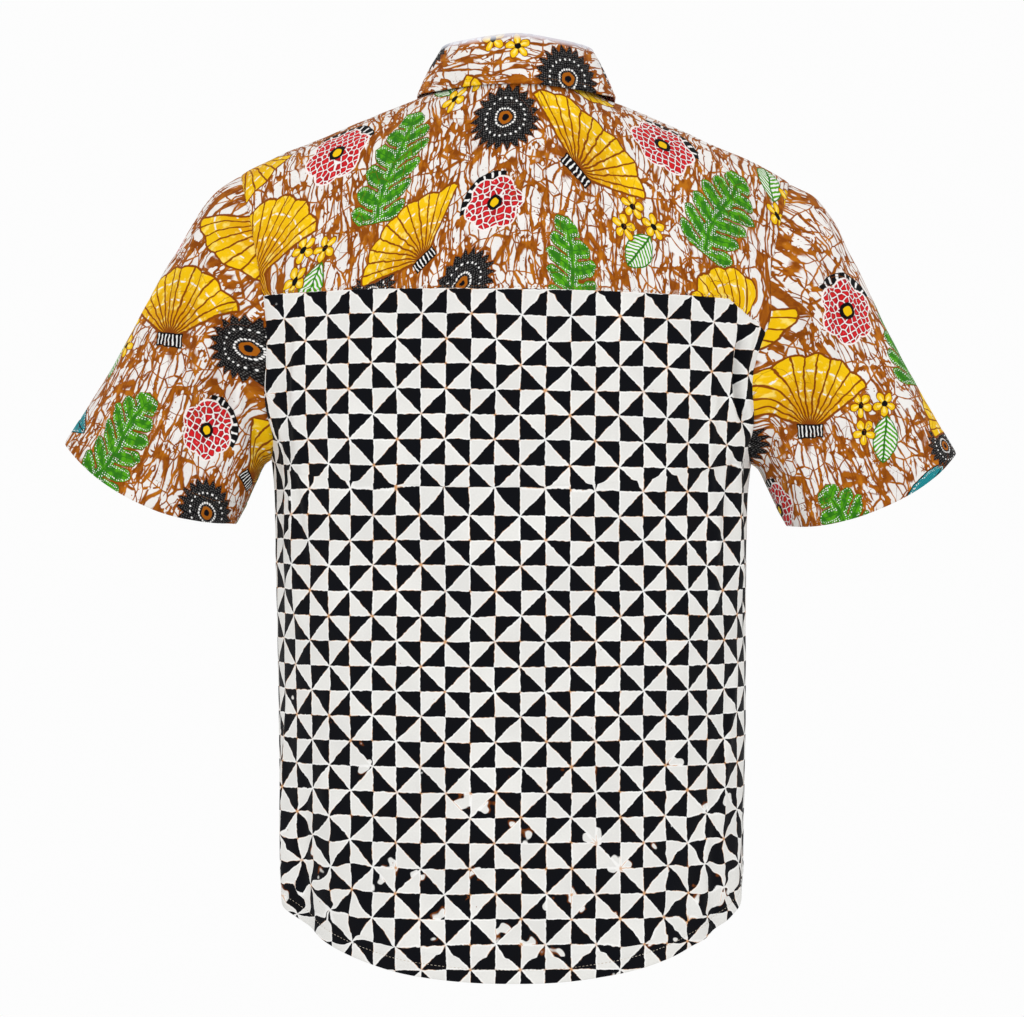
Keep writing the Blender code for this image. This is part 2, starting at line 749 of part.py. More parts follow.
def build_fall():
    turns = fall_degrees()
    feet, heads = stand_edges(turns)
    columns = []
    spans = []
    for turn, foot, head in zip(turns, feet, heads):
        up = unit(head - foot)
        angle = math.radians(turn)
        outward = unit(np.array([math.sin(angle) / NECK_HALF_WIDTH,
                                 math.cos(angle) / NECK_DEPTH_BACK, 0.0]))
        outward = unit(outward - up * float(outward @ up))
        base = head + up * FALL_GAP
        centre = base + up * ROLL_RISE + outward * ROLL_RADIUS
        profile = [base]
        across = [-outward]
        for k in range(ROLL_STEPS + 1):
            sweep = HALF_TURN * k / ROLL_STEPS
            ray = -outward * math.cos(sweep) + up * math.sin(sweep)
            profile.append(centre + ray * ROLL_RADIUS)
            across.append(ray)
        edge = fall_edge_point(turn)
        start = profile[-1]
        for k in range(1, FALL_ROWS + 1):
            share = k / FALL_ROWS
            slope = unit(edge - start)
            out = unit(outward - slope * float(outward @ slope))
            bulge = FALL_BULGE * math.sin(HALF_TURN * share)
            profile.append(start + (edge - start) * share + out * bulge)
            across.append(out)
        columns.append(profile)
        spans.append(across)
    grid = np.array(columns).transpose(1, 0, 2)
    across = np.array(spans).transpose(1, 0, 2)
    make_wall("collar_fall", grid, across, "crackle_batik")


# --- buttons -------------------------------------------------------------------------------------


def make_button(name, centre, facing):
    """A disc turned round its own axis; the face is dished inside the rim."""
    across = unit(np.cross(np.array([0.0, 0.0, 1.0]), facing))
    up = np.cross(facing, across)
    profile = (
        (BUTTON_RADIUS - BUTTON_ROUNDING, 0.0),
        (BUTTON_RADIUS, BUTTON_THICKNESS / 2.0),
        (BUTTON_RADIUS - BUTTON_ROUNDING, BUTTON_THICKNESS),
        (BUTTON_RADIUS - BUTTON_RIM, BUTTON_THICKNESS),
        (BUTTON_RADIUS - BUTTON_RIM - BUTTON_DISH, BUTTON_THICKNESS - BUTTON_DISH),
    )
    angle = 2.0 * HALF_TURN * np.arange(BUTTON_STEPS) / BUTTON_STEPS
    ray = across * np.cos(angle)[:, None] + up * np.sin(angle)[:, None]
    rings = np.array([centre + ray * radius + facing * height for radius, height in profile])
    faces = faces_of_grid(rings, 0, True, True)
    first = list(range(BUTTON_STEPS))
    last = [(len(profile) - 1) * BUTTON_STEPS + k for k in range(BUTTON_STEPS)]
    faces.append(tuple(first[::-1]))
    faces.append(tuple(last))
    make_object(name, rings.reshape(-1, 3), faces, "button_brown")


def build_buttons():
    lift = WALL / 2.0 + BUTTON_LIFT
    feet, heads = stand_edges([180.0])
    along = np.array([1.0, 0.0, 0.0])
    facing = unit(np.cross(along, heads[0] - feet[0]))
    facing = facing if facing[1] < 0 else -facing
    middle = (feet[0] + heads[0]) / 2.0
    make_button("button_1", middle + facing * lift, facing)
    for number, level in enumerate(BUTTON_LEVELS, start=2):
        point = torso(HALF_TURN, level, 1)
        facing = torso_normal(HALF_TURN, level, 1)
        make_button(f"button_{number}", point + facing * lift, facing)


def main():
    for old in list(bpy.data.objects):
        bpy.data.objects.remove(old, do_unlink=True)
    spans = []
    build_sleeve("sleeve_left", 1, spans)
    build_sleeve("sleeve_right", -1, spans)
    build_stand(spans)
    torso_piece("back_panel", back_grid(), "pinwheel_batik", spans)
    torso_piece("yoke", yoke_grid(), "crackle_batik", spans)
    front = front_grid()
    torso_piece("front_left", front, "pinwheel_batik", spans, layer=1)
    torso_piece("front_right", mirrored(front), "pinwheel_batik", spans, layer=-1)
    build_fall()
    build_buttons()


main()
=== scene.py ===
"""Looks for the short-sleeved batik shirt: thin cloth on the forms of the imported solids."""
import math

import bpy
import numpy as np
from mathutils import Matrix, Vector


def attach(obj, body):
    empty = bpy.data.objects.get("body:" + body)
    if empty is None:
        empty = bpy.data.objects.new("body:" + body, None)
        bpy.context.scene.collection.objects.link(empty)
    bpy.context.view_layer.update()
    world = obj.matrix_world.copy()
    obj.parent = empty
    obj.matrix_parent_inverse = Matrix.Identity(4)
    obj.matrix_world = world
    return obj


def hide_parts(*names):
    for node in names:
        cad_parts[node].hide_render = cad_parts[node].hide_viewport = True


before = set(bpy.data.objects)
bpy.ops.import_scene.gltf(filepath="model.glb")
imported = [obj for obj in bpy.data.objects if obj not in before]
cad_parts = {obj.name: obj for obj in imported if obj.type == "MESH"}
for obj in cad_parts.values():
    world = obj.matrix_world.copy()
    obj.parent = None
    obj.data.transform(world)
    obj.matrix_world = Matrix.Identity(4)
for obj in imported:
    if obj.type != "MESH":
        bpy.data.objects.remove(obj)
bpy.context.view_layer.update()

METRE = 1000.0

# --- the shared surfaces, in millimetres, as the solids have them ---

# The shoulders lean a little to the wearer's right: turned about a line along Y, eased in over the waist.
LEAN = 0.0145
LEAN_PIVOT = -250.0
LEAN_START = -450.0
LEAN_FULL = -200.0

# Level sections of the torso cloth. A power of 2 is an ellipse, more is squarer.
# columns: level, half width, depth behind, depth in front, power
TORSO_SECTIONS = (
    (30, 52, 55.5, 40, 2.00),
    (10, 68.5, 60.5, 46, 2.00),
    (0, 91.5, 63.5, 49, 2.00),
    (-13, 122, 67.5, 53, 2.00),
    (-30, 163, 73, 58, 2.00),
    (-47, 204.5, 79, 63.5, 2.00),
    (-65, 236, 85, 70, 1.94),
    (-86, 252, 92.5, 79, 1.91),
    (-105, 259, 98.5, 86, 1.88),
    (-125, 261, 104, 93, 1.87),
    (-150, 258, 110, 101.5, 1.86),
    (-185, 250, 116, 111, 1.85),
    (-223, 239, 120, 117, 1.90),
    (-250, 230, 121.8, 119, 1.94),
    (-285, 215, 123, 120.5, 2.02),
    (-306, 206, 123.5, 121, 2.10),
    (-350, 202.5, 122.5, 120, 2.15),
    (-420, 201.5, 121, 118, 2.20),
    (-500, 200.5, 121, 118, 2.20),
    (-600, 199.2, 123, 120, 2.20),
    (-680, 197.8, 125.5, 122, 2.20),
    (-745, 196.8, 127, 123, 2.20),
)

# Folds fade in and out over a third of their length; those of the torso run on past their foot.
FOLD_FADE = 3.0
FOLD_OVERRUN = 1.25

# Soft folds of the torso cloth, each a ridge (or a trough, below zero) running down the surface.
# columns: angle from centre back at the top, drift to the foot, top, foot, half width, height
TORSO_FOLDS = (
    (63, 4, -195, -400, 6, 4),
    (73, 3, -230, -430, 6, -3),
    (-60, -14, -180, -400, 6, 5),
    (-72, -10, -230, -430, 6, -3.5),
    (75, -3, -520, -760, 7, 3.5),
    (62, -2, -560, -760, 8, -3),
    (-74, 4, -530, -760, 7, 3.5),
    (-60, 3, -570, -760, 8, -2.5),
    (24, 3, -600, -770, 10, 2),
    (-30, -2, -590, -770, 10, 2),
    (118, 8, -200, -450, 7, 4),
    (-120, -7, -200, -470, 7, 4),
    (134, -6, -480, -760, 8, 4),
    (-132, 5, -500, -760, 8, 4),
    (112, 3, -540, -760, 7, -3),
    (-110, -3, -520, -760, 7, -3),
)

# Tail hem: level at the side seams and how much lower the middle of each tail hangs.
HEM_SIDE_LEVEL = -659.0
HEM_DROP_BACK = 81.0
HEM_DROP_FRONT = 68.0

# Armhole ring, a rounded oval seen from the side, cut in equal turns from its shoulder point.
RING_TOP = -65.0
RING_FOOT = -306.0
RING_DEPTH_BACK = 58.0
RING_DEPTH_FRONT = 54.0
RING_POWER = 2.2
RING_STATIONS = 30
RING_YOKE_BACK = 7
RING_YOKE_FRONT = -3
RING_PIT = 15

# The shoulder ridge ends where the sections turn down into the sleeves.
SHOULDER_END = 236.0

# Neck seam, an oval seen from above.
NECK_HALF_WIDTH = 64.0
NECK_DEPTH_BACK = 58.0
NECK_DEPTH_FRONT = 70.0
NECK_YOKE_CORNER = 50.0
NECK_YOKE_FRONT = 118.0

# Yoke seam across the back.
YOKE_SEAM_LEVEL = -164.0

# Front edges: the left laps over the right.
LAP = 16.0
LAP_SHIFT = 1.15
LAP_FULL = 26.0
LAP_FADE = 70.0

# Sleeve rings beyond the armhole, for the arm at +X. The outer edge is the silhouette above the arm.
# columns: share of the length, outer x, outer level, under x, under level, middle y,
#          depth behind, depth in front, how far the back hangs beyond the edges, the same in front
SLEEVE_RINGS = (
    (0.10, 257, -77.5, 211.8, -310, -1, 55, 53, 0, 0),
    (0.34, 291, -131, 220.5, -326, -5, 55, 54, 3, -1),
    (0.67, 336.5, -211, 230, -345, -14, 50, 51, 9, -4),
    (1.00, 385.5, -295, 239.5, -361, -25, 45, 46, 17, -7),
)

# Soft folds of the sleeves; the turn runs from the outer edge over the back to the underarm.
# columns: side, turn at the armhole, turn at the cuff, first share, last share, half width, height
SLEEVE_FOLDS = (
    (1, 112, 142, 0.25, 1.10, 13, 4),
    (1, 84, 116, 0.10, 0.95, 13, -3),
    (1, 42, 60, 0.30, 1.10, 14, 2.5),
    (1, 244, 226, 0.20, 1.05, 14, 3.5),
    (1, 276, 262, 0.10, 0.95, 14, -3),
    (-1, 120, 138, 0.20, 1.10, 13, 4),
    (-1, 92, 108, 0.10, 0.90, 13, -3),
    (-1, 50, 52, 0.35, 1.10, 14, 2.5),
    (-1, 238, 230, 0.20, 1.05, 14, 3.5),
    (-1, 270, 266, 0.15, 1.00, 14, -3),
)

# Collar stand: a band that leans in to the neck, with rounded ends.
STAND_BACK = 30.5
STAND_FRONT = 25.0
STAND_LEAN_BACK = 0.10
STAND_LEAN_FRONT = 0.24
STAND_SIDE_TURN = 60.0
STAND_FRONT_TURN = 180.0
STAND_END_CELLS = 2

# Collar fall: it rises from the stand, rolls over and lies on the shoulders.
FALL_GAP = 0.39
ROLL_RISE = 1.0
ROLL_RADIUS = 2.5
FALL_BULGE = 1.2
FALL_END = 176.5

# Outer edge of the fall, from centre back to the collar point. columns: turn round the neck, x, y, z
FALL_EDGE = (
    (0, 0, 63.3, 12.2),
    (12, 14.4, 62.2, 12.1),
    (25, 29.5, 57.8, 11.4),
    (50, 56.3, 44.4, 9.2),
    (68, 73.8, 31, 7.3),
    (90, 84.6, 7.9, 7.2),
    (110, 84.8, -18.2, 5),
    (120, 82.2, -32.2, -0.8),
    (130, 77.8, -45.3, -12.2),
    (150, 67.6, -62.7, -43),
    (165, 54.8, -73.8, -68.5),
    (FALL_END, 41.9, -83.8, -90),
)

# Steps for slopes, in turn and in level, and the shortest length that is divided by
NORMAL_STEP = 0.02
LEVEL_STEP = 1.5
SHORTEST = 1e-9
WHOLE_TURN = 2.0 * math.pi
HALF_TURN = math.pi
QUARTER_TURN = math.pi / 2.0
FULL_CIRCLE = 360.0
HALF_CIRCLE = 180.0
QUARTER_CIRCLE = 90.0


def column(table, index):
    return np.array([row[index] for row in table])


def through(knots, values, at):
    """A smooth curve through the knots that keeps to rises and falls of the values."""
    order = np.argsort(knots)
    x = np.asarray(knots, float)[order]
    y = np.asarray(values, float)[order]
    step = np.diff(x)
    slope = np.diff(y) / step
    tangent = np.zeros(len(x))
    same = slope[:-1] * slope[1:] > 0
    left = 2 * step[1:] + step[:-1]
    right = step[1:] + 2 * step[:-1]
    safe_before = np.where(same, slope[:-1], 1.0)
    safe_after = np.where(same, slope[1:], 1.0)
    mean = (left + right) / (left / safe_before + right / safe_after)
    tangent[1:-1] = np.where(same, mean, 0.0)
    tangent[0] = slope[0]
    tangent[-1] = slope[-1]
    at = np.clip(np.asarray(at, float), x[0], x[-1])
    cell = np.clip(np.searchsorted(x, at) - 1, 0, len(step) - 1)
    part = (at - x[cell]) / step[cell]
    square = part * part
    cube = square * part
    return (
        (2 * cube - 3 * square + 1) * y[cell]
        + (cube - 2 * square + part) * step[cell] * tangent[cell]
        + (3 * square - 2 * cube) * y[cell + 1]
        + (cube - square) * step[cell] * tangent[cell + 1]
    )


def ease(share):
    share = np.clip(share, 0.0, 1.0)
    return share * share * (3.0 - 2.0 * share)


def power_of(value, exponent):
    return np.sign(value) * np.abs(value) ** exponent


def unit(vectors):
    length = np.linalg.norm(vectors, axis=-1, keepdims=True)
    return vectors / np.maximum(length, SHORTEST)


def stacked(*values):
    return np.stack(np.broadcast_arrays(*values), axis=-1)


def hump(away, half_width):
    """1 at the middle of a fold or seam, fading to nothing beyond its half width."""
    return np.exp(-((away / half_width) ** 2))


def turned_from(degrees, middle):
    return (degrees - middle + HALF_CIRCLE) % FULL_CIRCLE - HALF_CIRCLE


def running(points):
    """Length along the first axis of a stack of points, from its start to each."""
    steps = np.linalg.norm(np.diff(points, axis=0), axis=-1)
    return np.concatenate([np.zeros((1,) + steps.shape[1:]), np.cumsum(steps, axis=0)])


def centred(points):
    """Length along a line of points, from its middle to each."""
    run = running(points)
    return run - run[-1] / 2.0


def square_to(vectors, way):
    """The parts of vectors that are square to the unit vectors of a way."""
    return unit(vectors - way * np.sum(vectors * way, axis=-1, keepdims=True))


# --- torso surface ---


def section(level):
    """Half width, depth behind, depth in front and power at a level."""
    levels = column(TORSO_SECTIONS, 0)
    return [through(levels, column(TORSO_SECTIONS, i), level) for i in range(1, 5)]


def plain_torso(turn, level):
    """The torso surface without folds. The turn is 0 at centre back and a quarter at +X."""
    half_width, behind, before, power = section(level)
    depth = np.where(np.cos(turn) >= 0, behind, before)
    x = half_width * power_of(np.sin(turn), 2.0 / power)
    y = depth * power_of(np.cos(turn), 2.0 / power)
    return stacked(x, y, level)


def slopes_to_normal(surface, turn, level):
    across = surface(turn + NORMAL_STEP, level) - surface(turn - NORMAL_STEP, level)
    down = surface(turn, level - LEVEL_STEP) - surface(turn, level + LEVEL_STEP)
    return unit(np.cross(across, down))


def fold_height(turn, level):
    degrees = np.degrees(turn)
    total = np.zeros(np.broadcast(turn, level).shape)
    for angle, drift, top, foot, half_width, height in TORSO_FOLDS:
        share = (top - level) / (top - foot)
        away = turned_from(degrees, angle + drift * share)
        fade = ease(share * FOLD_FADE) * ease((FOLD_OVERRUN - share) * FOLD_FADE)
        total = total + height * fade * hump(away, half_width)
    return total


def torso(turn, level, layer=0):
    """The cloth's middle surface. Layer 1 laps over at the front edge, -1 lies under."""
    turn = np.asarray(turn, float)
    level = np.asarray(level, float)
    base = plain_torso(turn, level)
    lift = fold_height(turn, level)
    near = ease((LAP_FADE - np.abs(base[..., 0])) / (LAP_FADE - LAP_FULL))
    lift = lift + layer * LAP_SHIFT * near * (np.cos(turn) < 0)
    return base + slopes_to_normal(plain_torso, turn, level) * lift[..., None]


def torso_normal(turn, level, layer=0):
    return slopes_to_normal(lambda a, b: torso(a, b, layer), np.asarray(turn), np.asarray(level))


def turn_at(x, y, level):
    """The turn at which the section at this level is cut by the direction of a point on it."""
    half_width, behind, before, power = section(level)
    depth = np.where(np.asarray(y) >= 0, behind, before)
    return np.arctan2(power_of(x / half_width, power / 2.0), power_of(y / depth, power / 2.0))


# --- seams as places (turn, level) on the torso ---


def mirrored(places):
    return np.asarray(places) * np.array([-1.0, 1.0])


def coons(foot, head, left, right):
    """A grid of places from its four edges; rows run from foot to head."""
    rows = len(left)
    columns = len(foot)
    s = np.linspace(0.0, 1.0, columns)[None, :, None]
    t = np.linspace(0.0, 1.0, rows)[:, None, None]
    ruled_up = (1 - t) * foot[None] + t * head[None]
    ruled_across = (1 - s) * left[:, None] + s * right[:, None]
    corners = (1 - t) * ((1 - s) * foot[0] + s * foot[-1]) + t * ((1 - s) * head[0] + s * head[-1])
    return ruled_up + ruled_across - corners


def leaned(points):
    """Leans everything above the waist over to the side."""
    x, y, z = np.moveaxis(np.asarray(points, float), -1, 0)
    angle = LEAN * ease((z - LEAN_START) / (LEAN_FULL - LEAN_START))
    high = z - LEAN_PIVOT
    along = x * np.cos(angle) - high * np.sin(angle)
    level = LEAN_PIVOT + high * np.cos(angle) + x * np.sin(angle)
    return stacked(along, y, level)


# How many times finer the cloth's grids are than the solids', and how many cells the solids' have
FINE = 7
COLLAR_FINE = 4
BACK_COLUMNS = 26
ROWS_BELOW = 11
FRONT_NECK_COLUMNS = 7
YOKE_ROWS = 6
SLEEVE_ROWS = 9
# How much a sleeve's rows crowd towards the armhole
SLEEVE_CROWDING = 0.45
# Steps when a level is found by halving, and along a length of cloth that is measured
SOLVE_STEPS = 26
LOWEST_SOLVED = YOKE_SEAM_LEVEL - 2.0
FLAT_STEPS = 28
OVER_STEPS = 14

# Thicknesses of cloth, a seam's trough, and the level of a pinwheel's middle behind
CLOTH = 0.9
COLLAR_CLOTH = 1.7
SEAM_DEPTH = 0.55
SEAM_HALF = 1.5
PINWHEEL_LEVEL = -436.4


# --- grids of places, cut finer than the solids' ---


def finer(first, last, cells, times=FINE):
    return np.linspace(first, last, cells * times + 1)


def ring_oval(angle, behind, before):
    """A rounded oval: its share of the way up from the middle, and how far behind the middle."""
    depth = np.where(np.sin(angle) >= 0, behind, before)
    return power_of(np.cos(angle), 2.0 / RING_POWER), depth * power_of(np.sin(angle), 2.0 / RING_POWER)


def ring_place(station):
    """Places on the left armhole; stations count from the shoulder point towards the back."""
    angle = WHOLE_TURN * np.asarray(station, float) / RING_STATIONS
    share, y = ring_oval(angle, RING_DEPTH_BACK, RING_DEPTH_FRONT)
    level = (RING_TOP + RING_FOOT) / 2.0 + (RING_TOP - RING_FOOT) / 2.0 * share
    _, behind, before, power = section(level)
    reach = np.where(y >= 0, behind, before)
    return stacked(np.arccos(np.clip(power_of(y / reach, power / 2.0), -1.0, 1.0)), level)


def level_above(x, y):
    """The highest levels at which the torso section reaches the points (x, y)."""
    x, y = np.broadcast_arrays(np.asarray(x, float), np.asarray(y, float))
    low = np.full(x.shape, LOWEST_SOLVED)
    high = np.full(x.shape, TORSO_SECTIONS[0][0])
    for _ in range(SOLVE_STEPS):
        middle = (low + high) / 2.0
        half_width, behind, before, power = section(middle)
        depth = np.where(y >= 0, behind, before)
        outside = (np.abs(x) / half_width) ** power + (np.abs(y) / depth) ** power > 1.0
        high = np.where(outside, middle, high)
        low = np.where(outside, low, middle)
    return (low + high) / 2.0


def neck_place(degrees):
    """Places on the neck seam, by the turn in degrees round the neck."""
    degrees = np.asarray(degrees, float)
    angle = np.radians(degrees)
    depth = np.where(np.cos(angle) >= 0, NECK_DEPTH_BACK, NECK_DEPTH_FRONT)
    x = NECK_HALF_WIDTH * np.sin(angle)
    y = depth * np.cos(angle)
    level = level_above(x, y)
    turn = turn_at(x, y, level)
    turn = np.where((degrees > QUARTER_CIRCLE) & (turn < 0), turn + WHOLE_TURN, turn)
    turn = np.where((degrees < -QUARTER_CIRCLE) & (turn > 0), turn - WHOLE_TURN, turn)
    return stacked(turn, level)


def hem_level(turn):
    drop = np.where(np.cos(turn) >= 0, HEM_DROP_BACK, HEM_DROP_FRONT)
    return HEM_SIDE_LEVEL - drop * np.abs(np.cos(turn))


def lap_place(level):
    """Places on the left front edge, past the centre line."""
    half_width, _, _, power = section(level)
    return stacked(HALF_TURN + np.arcsin((LAP / half_width) ** (power / 2.0)), level)


def neck_lap_degrees():
    return HALF_CIRCLE + math.degrees(math.asin(LAP / NECK_HALF_WIDTH))


def neck_front_degrees(times=FINE):
    return finer(NECK_YOKE_FRONT, neck_lap_degrees(), FRONT_NECK_COLUMNS, times)


def neck_yoke_degrees(times=FINE):
    front = finer(NECK_YOKE_FRONT, QUARTER_CIRCLE, -RING_YOKE_FRONT, times)
    side = finer(QUARTER_CIRCLE, NECK_YOKE_CORNER, RING_YOKE_BACK, times)
    back = finer(NECK_YOKE_CORNER, -NECK_YOKE_CORNER, BACK_COLUMNS, times)
    half = np.concatenate([front, side[1:]])
    return np.concatenate([-half, back[::-1][1:-1], half[::-1]])


# The right end of the yoke's seam behind is drawn down the armhole by the fold beside it, in stations.
RIGHT_SLIP = 0.78
SLIP_FROM = 0.80


def yoke_seam_places():
    corner = ring_place(RING_YOKE_BACK)
    right = ring_place(RING_YOKE_BACK + RIGHT_SLIP)
    turns = finer(-right[0], corner[0], BACK_COLUMNS)
    levels = YOKE_SEAM_LEVEL + (corner[1] - YOKE_SEAM_LEVEL) * (turns / corner[0]) ** 2
    pull = np.clip((-turns / right[0] - SLIP_FROM) / (1.0 - SLIP_FROM), 0.0, 1.0)
    return stacked(turns, levels + (right[1] - levels[0]) * pull)


def side_seam(station, slip=0.0):
    """Places up the left side seam and round the armhole to a station."""
    pit = ring_place(RING_PIT)
    below = stacked(QUARTER_TURN, finer(hem_level(QUARTER_TURN), pit[1], ROWS_BELOW))
    cells = RING_PIT - abs(station)
    way = 1.0 if station > 0 else -1.0
    above = ring_place(finer(RING_PIT, abs(station) + slip, cells)[1:] * way)
    return np.concatenate([below, above])


def back_places():
    side = side_seam(RING_YOKE_BACK)
    right = mirrored(side_seam(RING_YOKE_BACK, RIGHT_SLIP))
    turns = finer(-QUARTER_TURN, QUARTER_TURN, BACK_COLUMNS)
    return coons(stacked(turns, hem_level(turns)), yoke_seam_places(), right, side)


def front_places():
    """The left front, from its lapped edge to the side seam."""
    neck = neck_place(neck_front_degrees()[::-1])
    corner = ring_place(RING_YOKE_FRONT)
    share = finer(0.0, 1.0, YOKE_ROWS)[1:, None]
    head = np.concatenate([neck, neck[-1] + (corner - neck[-1]) * share])
    side = side_seam(RING_YOKE_FRONT)
    edge = lap_place(np.linspace(hem_level(HALF_TURN), neck[0][1], len(side)))
    edge[-1] = neck[0]
    turns = np.linspace(edge[0][0], QUARTER_TURN, len(head))
    return coons(stacked(turns, hem_level(turns)), head, edge, side)


def yoke_places():
    neck = neck_place(neck_yoke_degrees())
    cells = RING_YOKE_BACK - RING_YOKE_FRONT
    arm = ring_place(finer(RING_YOKE_FRONT, RING_YOKE_BACK, cells))
    right = ring_place(finer(RING_YOKE_FRONT, RING_YOKE_BACK + RIGHT_SLIP, cells))
    back = yoke_seam_places()
    outer = np.concatenate([mirrored(right), back[1:-1], arm[::-1]])
    share = finer(0.0, 1.0, YOKE_ROWS)[:, None]
    left = neck[0] + (outer[0] - neck[0]) * share
    right = neck[-1] + (outer[-1] - neck[-1]) * share
    return coons(neck, outer, left, right)


def crowded(count, first, last):
    """Cuts for a grid's rows or columns, with the cells next to its ends cut again.

    first and last are pairs: how many cells, and into how many parts."""
    cells = count - 1
    cuts = []
    for cell in range(cells):
        parts = 1
        if cell < first[0]:
            parts = first[1]
        if cell >= cells - last[0]:
            parts = last[1]
        cuts += [cell + k / parts for k in range(parts)]
    return np.array(cuts + [float(cells)])


def resample(grid, rows, columns):
    """Values of a grid at fractional rows and columns."""
    r = np.clip(np.floor(rows).astype(int), 0, grid.shape[0] - 2)
    c = np.clip(np.floor(columns).astype(int), 0, grid.shape[1] - 2)
    fr = (rows - r)[:, None, None]
    fc = (columns - c)[None, :, None]
    low = grid[r][:, c] * (1 - fc) + grid[r][:, c + 1] * fc
    high = grid[r + 1][:, c] * (1 - fc) + grid[r + 1][:, c + 1] * fc
    return low * (1 - fr) + high * fr


# --- flat coordinates, so that the cloth's pattern keeps its scale ---


def on_coarse(measure, grid, every=3):
    """Measures a grid at some of its rows and columns and fills in the rest."""
    rows = np.linspace(0.0, grid.shape[0] - 1.0, grid.shape[0] // every + 2)
    columns = np.linspace(0.0, grid.shape[1] - 1.0, grid.shape[1] // every + 2)
    found = measure(resample(grid, rows, columns))
    back_rows = np.interp(np.arange(grid.shape[0]), rows, np.arange(len(rows)))
    back_columns = np.interp(np.arange(grid.shape[1]), columns, np.arange(len(columns)))
    return resample(found, back_rows, back_columns)


def even_shares(steps):
    return np.linspace(0.0, 1.0, steps + 1)[:, None, None]


def across_flat(turn, level, start):
    """Cloth along the section from one turn to another, towards the left arm positive."""
    share = even_shares(FLAT_STEPS)
    length = running(torso(start + (turn - start) * share, level[None] + 0.0 * share))[-1]
    way = np.sign(turn - start) * (1.0 if start < QUARTER_TURN else -1.0)
    return length * way


def down_flat(turn, level):
    """Cloth up or down from the pinwheels' own level."""
    share = even_shares(FLAT_STEPS)
    levels = PINWHEEL_LEVEL + (level - PINWHEEL_LEVEL) * share
    return running(plain_torso(turn[None] + 0.0 * share, levels))[-1] * np.sign(level - PINWHEEL_LEVEL)


def over_flat(points):
    """Cloth over the shoulder ridge, behind it positive, and out along the ridge."""
    share = even_shares(OVER_STEPS)
    x = points[..., 0][None] + 0.0 * share
    y = points[..., 1][None] * share
    over = running(stacked(x, y, level_above(x, y)))[-1] * np.sign(points[..., 1])
    ridge = np.linspace(NECK_HALF_WIDTH, SHOULDER_END, OVER_STEPS * 4)
    rise = level_above(ridge, np.zeros_like(ridge))
    length = np.concatenate([[0.0], np.cumsum(np.hypot(np.diff(ridge), np.diff(rise)))])
    x = points[..., 0]
    away = np.abs(x)
    out = np.where(away < NECK_HALF_WIDTH, away, NECK_HALF_WIDTH + np.interp(away, ridge, length))
    return stacked(out * np.sign(x), over)


# --- relief: seams, hems, creases ---


class Cloth:
    """A grid on one sewn piece's middle surface: its points, normals, flat coordinates in
    millimetres, and how far each point is from the grid's four edges."""

    def __init__(self, points, normals, flat):
        self.points = points
        self.normals = normals
        self.flat = flat
        foot = running(points)
        left = running(points.swapaxes(0, 1)).T
        self.to = {"foot": foot, "head": foot[-1] - foot, "left": left, "right": left[:, -1:] - left}
        twice = np.cross(points[1:, 1:] - points[:-1, :-1], points[:-1, 1:] - points[1:, :-1])
        self.area = float((np.linalg.norm(twice, axis=-1) / 2.0).sum())

    def raise_by(self, height):
        self.points = self.points + self.normals * height[..., None]

    def turn_normals(self):
        """Sets the normals from the grid itself, on the side that they were on."""
        along = np.gradient(self.points, axis=1)
        up = np.gradient(self.points, axis=0)
        found = unit(np.cross(along, up))
        side = np.sign(np.sum(found * self.normals, axis=-1).mean())
        self.normals = found * side


WAVES = 7


def uneven(u, v, size, seed):
    """Smooth, uneven heights between about -1 and 1, a few sizes across."""
    pick = np.random.RandomState(seed)
    total = np.zeros(np.broadcast(u, v).shape)
    for _ in range(WAVES):
        way = pick.uniform(0.0, WHOLE_TURN)
        pace = WHOLE_TURN / size * pick.uniform(0.6, 1.5)
        total += np.sin((u * math.cos(way) + v * math.sin(way)) * pace + pick.uniform(0.0, 6.3))
    return total / math.sqrt(WAVES)


# A crease bows, runs on past its ends, widens as it goes and has a shallow trough beside it.
CREASE_BOW = 0.06
CREASE_OVERRUN = 0.12
TROUGH_SHARE = 0.45
TROUGH_OFF = 1.7
TROUGH_WIDE = 1.3


def crease_height(cloth, creases):
    """Soft creases. columns: from u, v, to u, v, half width, height"""
    u = cloth.flat[..., 0]
    v = cloth.flat[..., 1]
    total = np.zeros(u.shape)
    for u0, v0, u1, v1, half_width, height in creases:
        run = math.hypot(u1 - u0, v1 - v0)
        du, dv = (u1 - u0) / run, (v1 - v0) / run
        along = ((u - u0) * du + (v - v0) * dv) / run
        bow = CREASE_BOW * run * np.sin(HALF_TURN * np.clip(along, 0.0, 1.0))
        off = (u - u0) * -dv + (v - v0) * du - bow
        ends = ease((along + CREASE_OVERRUN) * FOLD_FADE)
        ends = ends * ease((1.0 + CREASE_OVERRUN - along) * FOLD_FADE)
        slim = half_width * (0.7 + 0.5 * ease(along))
        trough = hump(off - TROUGH_OFF * slim, TROUGH_WIDE * slim)
        total += height * ends * (hump(off, slim) - TROUGH_SHARE * trough)
    return total


def seam_height(cloth, sides):
    return sum(-SEAM_DEPTH * hump(cloth.to[side], SEAM_HALF) for side in sides)


def pucker_height(cloth, side, at, reach, height, pace, seed):
    """Small ripples that stitching at a distance from an edge draws up, square to the edge."""
    along = cloth.to["left"] if side in ("foot", "head") else cloth.to["foot"]
    phase = WHOLE_TURN * along / pace + 2.2 * uneven(along, along * 0.0, 4.0 * pace, seed)
    size = 0.6 + 0.4 * uneven(along, along * 0.0, 9.0 * pace, seed + 1)
    return height * size * np.sin(phase) * hump(cloth.to[side] - at, reach)


